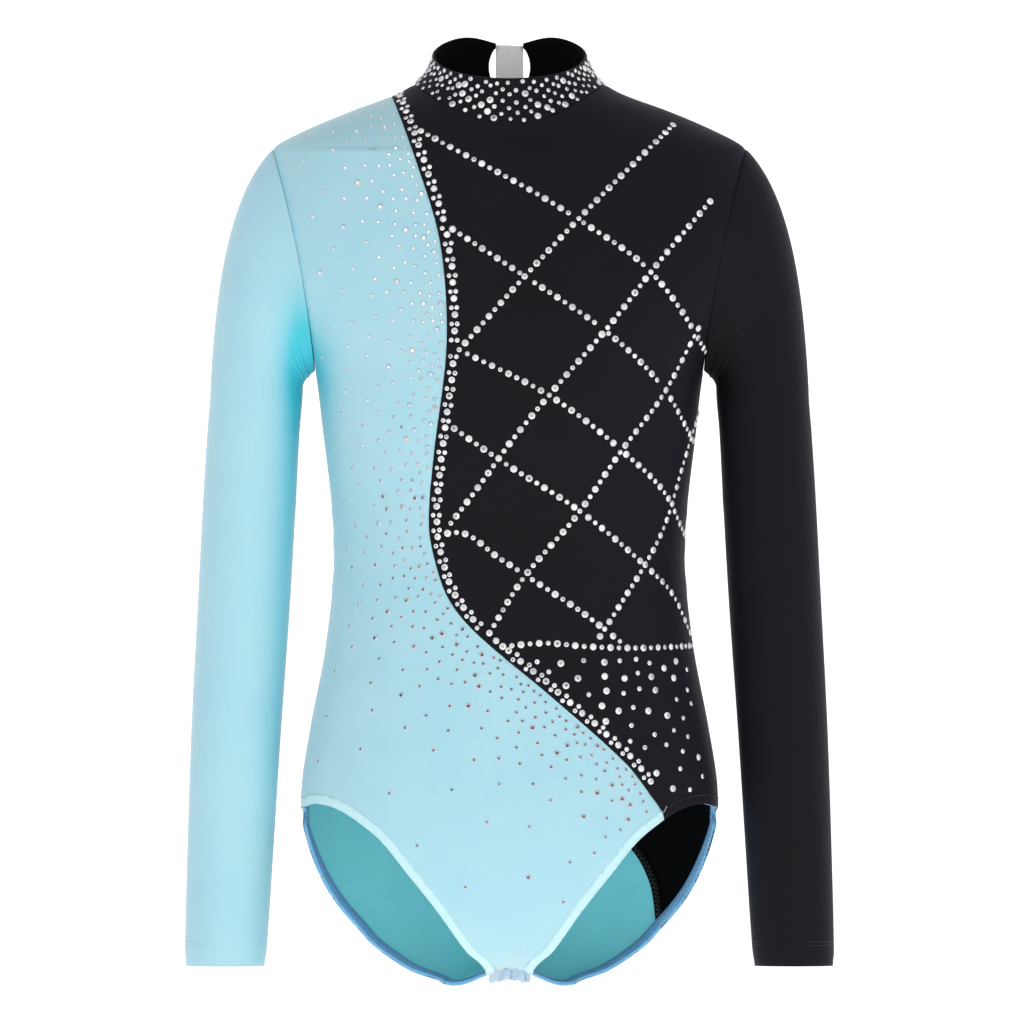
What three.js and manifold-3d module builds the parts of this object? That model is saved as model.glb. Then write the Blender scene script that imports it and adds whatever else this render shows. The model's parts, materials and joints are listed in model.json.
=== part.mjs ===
// A long-sleeved gymnastics leotard with a stand-up collar, shaped as it sits on its wearer.
// Millimetres, +Z up. The front faces -Y and +X is the wearer's left.
// The origin is in the middle of the neck, a little above the lowest point of the collar's seam.
// The cloth is a skin over a body form. Panels are cut from that skin by outlines, as cloth is cut
// by a pattern, and the sewn seams, the elastics and the lining lie in layers just inside it.
import * as THREE from "three";
import { mergeVertices } from "three/addons/utils/BufferGeometryUtils.js";
import Module from "manifold-3d";

const wasm = await Module();
wasm.setup();

// Cloth and sewing
const fabric = 1.2; // one layer of stretch knit
const clearance = 0.3; // between any two solids
const seamThick = 0.8; // an overlocked seam allowance, pressed flat
const seamWidth = 5;
const elasticWidth = 6;
const liningThick = 0.8;

// Heights, each measured down from the one before
const shoulderDrop = 24; // from the origin to the shoulder tips
const armholeHeight = 133;
const armpitToWaist = 113;
const waistToHip = 144;
const rise = 115; // from the hips to the lowest point of the seat

// Widths across the front
const shoulderWidth = 284;
const chestWidth = 233;
const waistWidth = 211;
const hipWidth = 250;
const armholeScoop = 3; // how far each armhole curves in from a straight line

// Depths in front of and behind the side seams
const chestFront = 75;
const chestBack = 80;
const waistFront = 70;
const waistBack = 64;
const hipFront = 74;
const hipBack = 92;
const armholeDepthShare = 0.6; // of the chest's depth there

// Neck and collar
const neckWidth = 115;
const neckDepth = 98;
const neckBehind = 4; // the neck's middle lies this far behind the side seams
const neckRise = 14; // height of the neck's sides above the origin
const collarThick = 2; // a folded band, two layers
const collarTopWidth = 93;
const collarTopDepth = 84;
const collarTopFront = 17.6; // height of the collar's upper edge in front
const collarTopBack = 47; // and behind, before it dips to the closure
const collarDip = 8;
const closureWidth = 16.4;
const closureHeight = 27;
const closureNotch = 3.8; // how far the collar's ends curve back from the closure

// Keyhole opening below the closure
const keyholeLength = 74;
const keyholeRadius = 19;

// Legs and crotch
const legTop = 4.5; // the leg openings start this far below the hips
const crotchWidth = 26;
const crotchLift = 13; // the crotch seam is drawn up this far above the seat's two lobes
const lobeReach = 37; // how far each lobe lies from the middle

// Sleeves
const sleeveLength = 490; // shoulder tip to cuff, straight down
const sleeveWidth = 55.6; // below the armpit
const armpitGap = 7.7; // between the body and the sleeve there
const cuffWidth = 47.5;
const cuffGap = 21.5; // between the cuff and the widest part of the hips
const sleeveRoundness = 0.94; // depth over width
const cuffHem = 14; // from the cuff's edge to its stitching

// Hooks and eyes
const wireRadius = 0.35;
const hookBend = 1.2; // radius of the hook's bend, to the middle of the wire
const hookPitch = 13; // between the two hooks

const around = 32; // points round the body
const { lerp, clamp } = THREE.MathUtils;
const half = (width) => width / 2;
const tipZ = -shoulderDrop;
const armpitZ = tipZ - armholeHeight;
const waistZ = armpitZ - armpitToWaist;
const hipZ = waistZ - waistToHip;
const bottomZ = hipZ - rise;
const cuffZ = tipZ - sleeveLength;
const cuffX = half(hipWidth) + cuffGap + half(cuffWidth);
const far = 2 * (shoulderWidth + hipWidth); // past the edge of everything

// ---- helpers ----

// A smooth curve through [position, value] knots in rising order, level at both ends.
function profile(knots) {
  const slopes = knots.map((knot, i) => {
    if (i === 0 || i === knots.length - 1) return 0;
    const before = knots[i - 1];
    const after = knots[i + 1];
    return (after[1] - before[1]) / (after[0] - before[0]);
  });
  return (position) => {
    let i = 0;
    while (i < knots.length - 2 && position > knots[i + 1][0]) i++;
    const span = knots[i + 1][0] - knots[i][0];
    const t = clamp((position - knots[i][0]) / span, 0, 1);
    const [from, to] = [knots[i][1], knots[i + 1][1]];
    const ease = t * t * (3 - 2 * t);
    const bulge = t * (1 - t) * ((1 - t) * slopes[i] - t * slopes[i + 1]) * span;
    return from + (to - from) * ease + bulge;
  };
}

// A closed skin over rings of points. A looped skin joins its last ring to its first, as a tube's
// wall does; otherwise both ends are closed by a fan. The two sides of it mirror each other.
function skin(rings, looped = false) {
  const count = rings[0].length;
  const points = rings.flat();
  const faces = [];
  const steps = looped ? rings.length : rings.length - 1;
  for (let i = 0; i < steps; i++) {
    const here = i * count;
    const next = ((i + 1) % rings.length) * count;
    for (let j = 0; j < count; j++) {
      const k = (j + 1) % count;
      const otherSide = j >= count / 4 && j < (3 * count) / 4;
      if (otherSide) faces.push(here + j, here + k, next + j, here + k, next + k, next + j);
      else faces.push(here + j, here + k, next + k, here + j, next + k, next + j);
    }
  }
  if (!looped) {
    const ends = [0, (rings.length - 1) * count];
    ends.forEach((start, end) => {
      const middle = new THREE.Vector3();
      for (let j = 0; j < count; j++) middle.addScaledVector(points[start + j], 1 / count);
      const hub = points.push(middle) - 1;
      for (let j = 0; j < count; j++) {
        const k = (j + 1) % count;
        if (end) faces.push(start + j, start + k, hub);
        else faces.push(start + k, start + j, hub);
      }
    });
  }
  return new THREE.BufferGeometry().setFromPoints(points).setIndex(faces);
}

// Rings moved inwards, square to the skin that they carry.
function insetRings(rings, distance) {
  const count = rings[0].length;
  return rings.map((ring, i) =>
    ring.map((point, j) => {
      const along = new THREE.Vector3().subVectors(
        rings[Math.min(i + 1, rings.length - 1)][j],
        rings[Math.max(i - 1, 0)][j],
      );
      const across = new THREE.Vector3().subVectors(ring[(j + 1) % count], ring[(j + count - 1) % count]);
      const outward = across.cross(along).normalize();
      return point.clone().addScaledVector(outward, -distance);
    }),
  );
}

function solid(geometry) {
  const bare = geometry.clone();
  bare.deleteAttribute("normal");
  bare.deleteAttribute("uv");
  const merged = mergeVertices(bare, 1e-4);
  const vertProperties = Float32Array.from(merged.attributes.position.array);
  const triVerts = Uint32Array.from(merged.index.array);
  const made = new wasm.Manifold(new wasm.Mesh({ numProp: 3, vertProperties, triVerts }));
  if (made.volume() > 0) return made;
  triVerts.reverse();
  return new wasm.Manifold(new wasm.Mesh({ numProp: 3, vertProperties, triVerts }));
}

function geometryOf(manifold) {
  const { numProp, vertProperties, triVerts } = manifold.getMesh();
  const position = new Float32Array((vertProperties.length / numProp) * 3);
  for (let i = 0; i < position.length / 3; i++) {
    position.set(vertProperties.subarray(i * numProp, i * numProp + 3), i * 3);
  }
  const geometry = new THREE.BufferGeometry();
  geometry.setAttribute("position", new THREE.BufferAttribute(position, 3));
  geometry.setIndex(new THREE.BufferAttribute(triVerts, 1));
  geometry.computeVertexNormals();
  return geometry;
}

// A prism over a front-view outline, from one depth to another.
function prism(shape, fromY = -far, toY = far) {
  const geometry = new THREE.ExtrudeGeometry(shape, {
    depth: toY - fromY,
    bevelEnabled: false,
    curveSegments: 10,
  });
  geometry.rotateX(Math.PI / 2);
  geometry.translate(0, toY, 0);
  return solid(geometry);
}

function box(low, high) {
  const size = new THREE.Vector3(...high).sub(new THREE.Vector3(...low));
  const geometry = new THREE.BoxGeometry(size.x, size.y, size.z);
  geometry.translate((low[0] + high[0]) / 2, (low[1] + high[1]) / 2, (low[2] + high[2]) / 2);
  return solid(geometry);
}

// A round wire along a curve.
function wire(curve, steps, radius = wireRadius) {
  const disc = new THREE.Shape().absarc(0, 0, radius, 0, 2 * Math.PI);
  return new THREE.ExtrudeGeometry(disc, { steps, extrudePath: curve, curveSegments: 3 });
}

const frontHalf = box([-far, -far, -far], [far, -clearance / 2, far]);
const backHalf = box([-far, clearance / 2, -far], [far, far, far]);

// ---- body form ----

// The armhole seam's distance from the middle, and how far down it a height lies, from 0 to 1.
const armholeShare = (z) => clamp((tipZ - z) / armholeHeight, 0, 1);

function armholeX(z) {
  const share = armholeShare(z);
  const straight = lerp(half(shoulderWidth), half(chestWidth), share);
  return straight - armholeScoop * Math.sin(Math.PI * share);
}

// From the waist's slope up to the chest, and over the shoulders to the neck
const trunkHalf = profile([
  [hipZ, half(hipWidth)],
  [waistZ + 0.02 * waistToHip, half(waistWidth)],
  [armpitZ, half(chestWidth)],
  [tipZ, half(shoulderWidth)],
]);
const ridgeHalf = profile([
  [tipZ - shoulderDrop, half(shoulderWidth) + shoulderDrop / 2],
  [tipZ, half(shoulderWidth)],
  [0, half(shoulderWidth) - 1.8 * shoulderDrop],
  [neckRise, half(neckWidth)],
  [2 * neckRise, half(neckWidth) / 2],
]);
const frontDepth = profile([
  [hipZ, hipFront],
  [waistZ, waistFront],
  [armpitZ, chestFront],
  [armpitZ + armholeHeight / 2, chestFront - 7],
  [tipZ, chestFront - 22],
  [tipZ + 13, half(neckDepth) - neckBehind + 1],
  [neckRise, half(neckDepth) - neckBehind - 17],
  [2 * neckRise, half(neckDepth) - neckBehind - 30],
]);
const backDepth = profile([
  [hipZ, hipBack],
  [waistZ, waistBack],
  [armpitZ, chestBack],
  [armpitZ + armholeHeight / 2, chestBack + 2],
  [tipZ, chestBack - 10],
  [0, half(neckDepth) + neckBehind + 8],
  [neckRise, half(neckDepth) + neckBehind],
  [2 * neckRise, half(neckDepth) + neckBehind - 12],
]);
const squareness = profile([
  [bottomZ, 2.2],
  [hipZ, 2.35],
  [waistZ, 2.2],
  [armpitZ, 2.3],
  [tipZ, 1.9],
  [2 * neckRise, 1.9],
]);

// Half width, depths and squareness of the body at one height. Under the hips it closes as a bowl.
function section(z) {
  const power = squareness(z);
  if (z < hipZ) {
    const drop = Math.min(1, (hipZ - z) / rise);
    return {
      width: half(hipWidth) * (1 - drop ** 3) ** 0.294,
      front: hipFront * (1 - drop ** 2) ** 0.55,
      back: hipBack * (1 - drop ** 3) ** 0.35,
      power,
    };
  }
  let width = z > tipZ ? ridgeHalf(z) : trunkHalf(z);
  if (z > armpitZ && z < tipZ) {
    const share = armholeShare(z);
    const opening = 2 * armholeDepthShare * Math.sqrt(share * (1 - share));
    width = armholeX(z) / (1 - opening ** power) ** (1 / power);
  }
  return { width, front: frontDepth(z), back: backDepth(z), power };
}

// How far the crotch is drawn up, at a distance from the middle and a height before it is drawn up
function drawnUp(x, z) {
  const drop = clamp((hipZ - z) / rise, 0, 1);
  return crotchLift * drop ** 6 * Math.cos((Math.min(1, Math.abs(x) / lobeReach) * Math.PI) / 2) ** 2;
}

// The point of the form at a width and height, on its front (side -1) or its back (side 1).
function onForm(x, z, side) {
  const { width, front, back, power } = section(z);
  const reach = Math.min(1, Math.abs(x) / Math.max(width, 1e-3));
  const depth = (1 - reach ** power) ** (1 / power);
  return new THREE.Vector3(x, side * (side < 0 ? front : back) * depth, z + drawnUp(x, z));
}

// Under 1 inside the form and over 1 outside it
function fullness(x, y, z) {
  const { width, front, back, power } = section(z - drawnUp(x, z));
  const depth = y < 0 ? front : back;
  return Math.abs(x / Math.max(width, 1)) ** power + Math.abs(y / Math.max(depth, 1)) ** power;
}

// The form's height at a point of the plan, found between a level inside it and one past it.
function formHeight(x, y, inside, past) {
  let [near, away] = [inside, past];
  for (let i = 0; i < 30; i++) {
    const z = (near + away) / 2;
    if (fullness(x, y, z) < 1) near = z;
    else away = z;
  }
  return near;
}

// Which way the form faces at a point of it
function facing({ x, y, z }) {
  return new THREE.Vector3(
    fullness(x + 1, y, z) - fullness(x - 1, y, z),
    fullness(x, y + 1, z) - fullness(x, y - 1, z),
    fullness(x, y, z + 1) - fullness(x, y, z - 1),
  ).normalize();
}

function bodyRing(z) {
  const { width, front, back, power } = section(z);
  const bend = (value) => Math.sign(value) * Math.abs(value) ** (2 / power);
  return Array.from({ length: around }, (_, j) => {
    const angle = (2 * Math.PI * j) / around;
    const x = width * bend(Math.cos(angle));
    const y = bend(Math.sin(angle));
    return new THREE.Vector3(x, y * (y < 0 ? front : back), z + drawnUp(x, z));
  });
}

function levels(from, to, count) {
  return Array.from({ length: count }, (_, i) => from + ((to - from) * i) / count);
}

const bowlLevels = [0.995, 0.97, 0.91, 0.8, 0.65, 0.45, 0.22].map((t) => hipZ - t * rise);
const bodyRings = [
  ...bowlLevels,
  ...levels(hipZ, waistZ, 4),
  ...levels(waistZ, armpitZ, 3),
  ...levels(armpitZ, tipZ, 5),
  ...levels(tipZ, neckRise, 3),
  neckRise,
  2 * neckRise,
].map(bodyRing);

const bodyForm = (inset) => solid(skin(insetRings(bodyRings, inset)));

// A layer of the body between two depths under its outer face
const layer = (from, thick) => bodyForm(from).subtract(bodyForm(from + thick));
const cloth = layer(0, fabric);
const seamLayer = layer(fabric + clearance, seamThick);
const liningLayer = layer(fabric + seamThick + 2 * clearance, liningThick);

// ---- outlines, all seen from the front ----

// The S-shaped colour seam. In front it starts on the right shoulder and ends at the left leg;
// behind, it hangs lower, so that it ends halfway round the seat.
function waveLine(hang) {
  const points = [
    [-half(shoulderWidth) + 60, neckRise + 20],
    [-half(neckWidth) - 12, 4],
    [-49, tipZ - 0.26 * armholeHeight],
    [-38.4, armpitZ + 0.2 * armholeHeight],
    [-49, waistZ + 30 - hang / 2],
    [-36.6, waistZ - 24 - 0.8 * hang],
    [0, waistZ - 63 - 0.95 * hang],
    [46, hipZ + 43 - hang],
    [75, hipZ + 14 - hang],
    [90, hipZ - 9 - 1.2 * hang],
    [100, bottomZ + 55 - hang],
    [104, bottomZ - 20],
  ];
  return new THREE.SplineCurve(points.map(([x, z]) => new THREE.Vector2(x, z))).getPoints(32);
}
const backHang = 42;

// Everything on one side of the wave: side -1 is the wearer's right.
function besideWave(hang, side, away = clearance / 2) {
  const line = waveLine(hang).map((p) => new THREE.Vector2(p.x + side * away, p.y));
  line.push(new THREE.Vector2(side * far, -far), new THREE.Vector2(side * far, far));
  return new THREE.Shape(line);
}

const legStart = new THREE.Vector2(half(hipWidth), hipZ - legTop);
const crotchCorner = new THREE.Vector2(half(crotchWidth), bottomZ + crotchLift);
const legKnee = new THREE.Vector2(half(hipWidth) - 45, hipZ - 23);
const frontLeg = new THREE.CubicBezierCurve(
  legStart,
  new THREE.Vector2(half(hipWidth) - 21, hipZ - 2),
  new THREE.Vector2(half(hipWidth) - 31, hipZ - 9),
  legKnee,
);
const backLeg = new THREE.CubicBezierCurve(
  legStart,
  new THREE.Vector2(half(hipWidth) - 3, hipZ - 58),
  new THREE.Vector2(2 * lobeReach, bottomZ + 4),
  new THREE.Vector2(lobeReach, bottomZ + 2),
);

// The leg line from the side seam to the crotch, and behind only as far as the lobe
const frontLegLine = [...frontLeg.getPoints(8), crotchCorner];
const backLegLine = Array.from({ length: 10 }, (_, i) => backLeg.getPoint((0.78 * i) / 9));

// From there to the crotch the cloth is nearly level, so its edge is drawn in plan, back to front.
const lobe = backLegLine[9];
const lobeDepth = onForm(lobe.x, lobe.y, 1).y;
const seatEdge = new THREE.SplineCurve([
  new THREE.Vector2(lobe.x + 14, lobeDepth + 5),
  new THREE.Vector2(lobe.x, lobeDepth),
  new THREE.Vector2(lobeReach, 0.8 * lobeDepth),
  new THREE.Vector2(half(crotchWidth) + 6, 0.45 * lobeDepth),
  new THREE.Vector2(half(crotchWidth), 4),
]);

// The armhole seam from the shoulder down, moved outwards by a distance
const armholeEdge = (away) =>
  Array.from({ length: 11 }, (_, i) => {
    const z = tipZ - (armholeHeight * i) / 10;
    return new THREE.Vector2(armholeX(z) + away, z);
  });

// The trunk's outline: armholes cut away above, leg openings below.
function trunkShape(legLine) {
  const edge = [
    new THREE.Vector2(half(shoulderWidth) - clearance / 2, far),
    ...armholeEdge(-clearance / 2),
    new THREE.Vector2(far, armpitZ),
    new THREE.Vector2(far, hipZ - legTop),
    ...legLine,
    new THREE.Vector2(legLine.at(-1).x - 12, bottomZ - 20),
    new THREE.Vector2(half(crotchWidth), -far),
  ];
  const mirrored = edge.map((p) => new THREE.Vector2(-p.x, p.y)).reverse();
  return new THREE.Shape([...edge, ...mirrored]);
}

function neckCutter(grow = 0) {
  const oval = new THREE.Shape().absellipse(
    0,
    -neckBehind,
    half(neckWidth) + grow,
    half(neckDepth) + grow,
    0,
    2 * Math.PI,
  );
  const geometry = new THREE.ExtrudeGeometry(oval, { depth: far, bevelEnabled: false, curveSegments: 16 });
  geometry.rotateX(Math.PI);
  geometry.translate(0, 0, far + tipZ - shoulderDrop);
  return solid(geometry);
}

// A keyhole: a round lower end, narrowing up to the closure's width.
function keyholeShape(grow = 0) {
  const top = neckRise + far / 20;
  const low = neckRise - keyholeLength + keyholeRadius;
  const radius = keyholeRadius + grow;
  const throat = half(closureWidth) + clearance + grow;
  const shape = new THREE.Shape();
  shape.moveTo(throat, top);
  shape.lineTo(throat, neckRise - 2);
  shape.bezierCurveTo(throat, neckRise - 14, radius, low + 18, radius, low);
  shape.absarc(0, low, radius, 0, -Math.PI, true);
  shape.bezierCurveTo(-radius, low + 18, -throat, neckRise - 14, -throat, neckRise - 2);
  shape.lineTo(-throat, top);
  return shape;
}

// ---- trunk panels ----

// What lies between the seat's edge, seen in plan, and the crotch
const seatOpening = new THREE.ExtrudeGeometry(
  new THREE.Shape([
    ...seatEdge.getPoints(12),
    new THREE.Vector2(half(crotchWidth), -clearance),
    new THREE.Vector2(lobe.x + 14, -clearance),
  ]),
  { depth: far, bevelEnabled: false },
);
seatOpening.translate(0, 0, lobe.y + 2 - far);
const rightSeatOpening = seatOpening.clone().scale(-1, 1, 1);
const frontTrunk = cloth
  .intersect(prism(trunkShape(frontLegLine)))
  .intersect(frontHalf)
  .subtract(neckCutter());
const backTrunk = cloth
  .intersect(prism(trunkShape(backLegLine)))
  .intersect(backHalf)
  .subtract(neckCutter())
  .subtract(prism(keyholeShape(), 0, far))
  .subtract(solid(seatOpening))
  .subtract(solid(rightSeatOpening));

const frontAqua = frontTrunk.intersect(prism(besideWave(0, -1)));
const frontBlack = frontTrunk.intersect(prism(besideWave(0, 1)));
const backAqua = backTrunk.intersect(prism(besideWave(backHang, -1)));
const backBlack = backTrunk.intersect(prism(besideWave(backHang, 1)));

// ---- sleeves ----

const capEnd = new THREE.Vector2(half(chestWidth) + armpitGap + sleeveWidth, armpitZ - 11);
const capCurve = new THREE.CubicBezierCurve(
  new THREE.Vector2(half(shoulderWidth), tipZ),
  new THREE.Vector2(half(shoulderWidth) + 21, tipZ - 20),
  new THREE.Vector2(capEnd.x - 4, capEnd.y + 78),
  capEnd,
);

// One ring of the sleeve's cap, from the armhole (share 0) to below the armpit (share 1). The first
// one lies a little inside the armhole, where the cap is cut off along the seam.
function capRing(share) {
  const outer = capCurve.getPoint(share);
  const inner = new THREE.Vector2(half(chestWidth) + armpitGap * share, armpitZ - 11 * share);
  const armhole = armholeDepthShare * (1 - share) ** 2;
  const count = 20;
  return Array.from({ length: count }, (_, j) => {
    const angle = (2 * Math.PI * j) / count;
    const slide = (1 - Math.cos(angle)) / 2;
    const x = lerp(outer.x, inner.x, slide);
    const z = lerp(outer.y, inner.y, slide);
    const scoop = armholeScoop * Math.sin(Math.PI * slide) * (1 - share);
    const side = Math.sin(angle) > 0 ? 1 : -1;
    const chest = side > 0 ? backDepth(z) : frontDepth(z);
    const round = half(sleeveWidth) * sleeveRoundness * (1 - (1 - share) ** 2);
    const tuck = 4 * Math.max(0, 1 - share / 0.1);
    return new THREE.Vector3(x - scoop - tuck, (chest * armhole + round) * Math.sin(angle), z);
  });
}

// A level ring of the sleeve below the cap, share 1 at the cuff.
function armRing(share) {
  const width = profile([
    [0, sleeveWidth],
    [0.8, sleeveWidth - 4],
    [0.97, cuffWidth + 1.5],
    [1, cuffWidth],
  ])(share);
  const count = 20;
  const middle = lerp(capEnd.x - half(sleeveWidth), cuffX, share);
  const z = lerp(capEnd.y, cuffZ, share);
  return Array.from({ length: count }, (_, j) => {
    const angle = (2 * Math.PI * j) / count;
    const x = middle + half(width) * Math.cos(angle);
    return new THREE.Vector3(x, half(width) * sleeveRoundness * Math.sin(angle), z);
  });
}

const sleeveRings = [
  ...[0, 0.12, 0.3, 0.52, 0.76].map(capRing),
  ...[0, 0.2, 0.45, 0.7, 0.88, 0.97, 1].map(armRing),
];

// A layer of the left sleeve between two depths under its outer face
function sleeveLayer(from, thick) {
  const outer = insetRings(sleeveRings, -from);
  const inner = insetRings(sleeveRings, -from - thick);
  return solid(skin([...outer, ...inner.reverse()], true));
}
const insideArmhole = prism(
  new THREE.Shape([
    new THREE.Vector2(0, far),
    new THREE.Vector2(half(shoulderWidth) + clearance / 2, far),
    ...armholeEdge(clearance / 2),
    new THREE.Vector2(half(chestWidth) + clearance / 2, armpitZ - 6),
    new THREE.Vector2(0, armpitZ - 6),
  ]),
);
const sleeveCloth = sleeveLayer(0, fabric).subtract(insideArmhole);
const sleeveSeamLayer = sleeveLayer(fabric + clearance, seamThick);

// The underarm seam, on the side of the sleeve that faces the body
const underarmSeam = sleeveSeamLayer.intersect(
  box([0, -half(seamWidth), cuffZ + cuffHem + seamWidth], [far, half(seamWidth), armpitZ - 12]),
);
const innerSide = new THREE.Shape([
  new THREE.Vector2(0, armpitZ),
  new THREE.Vector2(capEnd.x - half(sleeveWidth), armpitZ),
  new THREE.Vector2(cuffX, cuffZ),
  new THREE.Vector2(0, cuffZ),
]);
const sleeveSeam = underarmSeam.intersect(prism(innerSide));
const cuffStitching = sleeveSeamLayer.intersect(
  box([0, -far, cuffZ + cuffHem - seamWidth], [far, far, cuffZ + cuffHem]),
);
const mirrorX = (manifold) => manifold.mirror([1, 0, 0]);

// ---- collar ----

// The collar's upright section at an angle from the front, as a ring of points.
function collarRing(angle) {
  const rise = 5;
  const shell = (inset) =>
    Array.from({ length: rise }, (_, i) => {
      const up = i / (rise - 1);
      const flare = (1 - up) ** 1.5;
      const width = lerp(half(collarTopWidth), half(neckWidth) - 2 * clearance, flare) - inset;
      const depth = lerp(half(collarTopDepth), half(neckDepth) - 2 * clearance, flare) - inset;
      const edgeX = half(neckWidth) * Math.sin(angle);
      const edgeY = neckBehind - half(neckDepth) * Math.cos(angle);
      const foot = formHeight(edgeX, edgeY, tipZ - shoulderDrop, 2 * neckRise) - fabric;
      const middle = (collarTopFront + collarTopBack) / 2;
      const dip = collarDip * Math.exp(-(((Math.PI - Math.abs(angle)) / 0.42) ** 2));
      const top = middle - ((collarTopBack - collarTopFront) / 2) * Math.cos(angle) - dip;
      return new THREE.Vector3(
        width * Math.sin(angle),
        neckBehind - depth * Math.cos(angle),
        lerp(foot, top, up),
      );
    });
  return [...shell(0), ...shell(collarThick).reverse()];
}

const collarEnd = Math.PI - Math.asin(half(closureWidth) / 2 / half(collarTopWidth));
const collarBand = solid(
  skin(Array.from({ length: 33 }, (_, i) => collarRing(collarEnd * (i / 16 - 1)))),
);
const closureMiddle = new THREE.Vector3(
  0,
  neckBehind + half(collarTopDepth) + 1,
  collarTopBack - collarDip - half(closureHeight),
);

// The collar's ends curve back from the closure between their upper and lower corners.
const notch = new THREE.Shape().absellipse(
  0,
  closureMiddle.z + 2,
  half(closureWidth) + closureNotch,
  half(closureHeight) - 5.5,
  0,
  2 * Math.PI,
);
const straightEnds = box(
  [-half(closureWidth) - clearance, 0, -far],
  [half(closureWidth) + clearance, far, far],
);
const collar = collarBand.subtract(prism(notch, 0, far)).subtract(straightEnds);

// ---- closure: a tape with two hooks over a tape with two eyes ----

const tapeThick = 1;
const eyeBar = tapeThick + 1.9; // height of the eye's bar over the back of its tape
const shank = eyeBar + hookBend; // height of the hook's shank
const bill = eyeBar - hookBend;
const hookTapeFoot = shank + wireRadius + clearance;
const tapeOverlap = 0.8; // each tape passes the middle by this

function hookWire(z) {
  const path = new THREE.CurvePath();
  const bendX = 3.4;
  const points = [
    [-4, shank],
    [-1, shank],
    [bendX, shank],
  ];
  for (let i = 1; i < 6; i++) {
    const angle = Math.PI / 2 - (Math.PI * i) / 6;
    points.push([bendX + hookBend * Math.cos(angle), eyeBar + hookBend * Math.sin(angle)]);
  }
  points.push([bendX, bill], [bendX - 2, bill]);
  for (let i = 1; i < points.length; i++) {
    const [from, to] = [points[i - 1], points[i]].map(([x, y]) => new THREE.Vector3(x, y, z));
    path.add(new THREE.LineCurve3(from, to));
  }
  return path;
}

// A staple-shaped eye: an upright bar with two feet that end at the face of its tape.
function eyeWire(z) {
  const barX = 2.9;
  const points = [
    [tapeThick + 1.5 * clearance, -2.6],
    [eyeBar, -2],
    [eyeBar, 2],
    [tapeThick + 1.5 * clearance, 2.6],
  ].map(([y, dz]) => new THREE.Vector3(barX, y, z + dz));
  return new THREE.CatmullRomCurve3(points, false, "centripetal");
}

// ---- the rest of the sewing ----

// A band of the seam layer along a front-view line, given as points
function lineBand(points, width) {
  const sides = [-1, 1].map((side) =>
    points.map((point, i) => {
      const before = points[Math.max(i - 1, 0)];
      const after = points[Math.min(i + 1, points.length - 1)];
      const across = new THREE.Vector2(after.y - before.y, before.x - after.x).normalize();
      return point.clone().addScaledVector(across, (side * width) / 2);
    }),
  );
  return prism(new THREE.Shape([...sides[0], ...sides[1].reverse()]));
}

// The leg opening's edge on the body, from the side seam down the front and up the back
function legLoop() {
  const front = frontLegLine.map((p) => onForm(p.x, p.y, -1));
  const back = backLegLine.map((p) => onForm(p.x, p.y, 1));
  const under = (x, y) => new THREE.Vector3(x, y, formHeight(x, y, hipZ, bottomZ));
  const seat = seatEdge.getPoints(8).map((p) => under(p.x, p.y)).filter((p) => p.x < lobe.x - 3);
  const strap = [-12, -4].map((y) => under(half(crotchWidth), y));
  return [...front, ...strap, ...seat.reverse(), ...back.reverse().slice(0, -1)];
}

// A fat cord just inside the leg opening's edge: where it meets the seam layer lies the elastic.
function legCord(radius) {
  const loop = new THREE.CatmullRomCurve3(legLoop(), true, "centripetal");
  const stations = 40;
  const rings = Array.from({ length: stations }, (_, i) => {
    const at = i / stations;
    const point = loop.getPointAt(at);
    const along = loop.getTangentAt(at);
    const outward = facing(point);
    const inland = new THREE.Vector3().crossVectors(outward, along).normalize();
    const middle = point.clone().addScaledVector(inland, half(elasticWidth) + clearance);
    middle.addScaledVector(outward, -fabric - clearance - seamThick / 2);
    return Array.from({ length: 6 }, (_, j) => {
      const angle = (2 * Math.PI * j) / 6;
      return middle
        .clone()
        .addScaledVector(inland, radius * Math.cos(angle))
        .addScaledVector(outward, 2 * radius * Math.sin(angle));
    });
  });
  return solid(skin(rings, true));
}
const leftLegCord = legCord(half(elasticWidth));
const legKeepOut = legCord(half(elasticWidth) + 2 * clearance);
const keepOut = legKeepOut.add(mirrorX(legKeepOut));
const legElastic = seamLayer.intersect(leftLegCord);

const seamEnd = half(seamWidth) + clearance; // a seam stops this far from the one it runs into
const waveSeamFront = seamLayer
  .intersect(lineBand(waveLine(0), seamWidth))
  .intersect(box([-far, -far, -far], [far, -seamEnd, neckRise]))
  .intersect(prism(trunkShape(frontLegLine)))
  .subtract(neckCutter(seamWidth + 2 * clearance))
  .subtract(keepOut);
const waveSeamBack = seamLayer
  .intersect(lineBand(waveLine(backHang), seamWidth))
  .intersect(box([-far, seamEnd, -far], [far, far, neckRise]))
  .intersect(prism(trunkShape(backLegLine)))
  .subtract(neckCutter(seamWidth + 2 * clearance))
  .subtract(keepOut);

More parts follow.
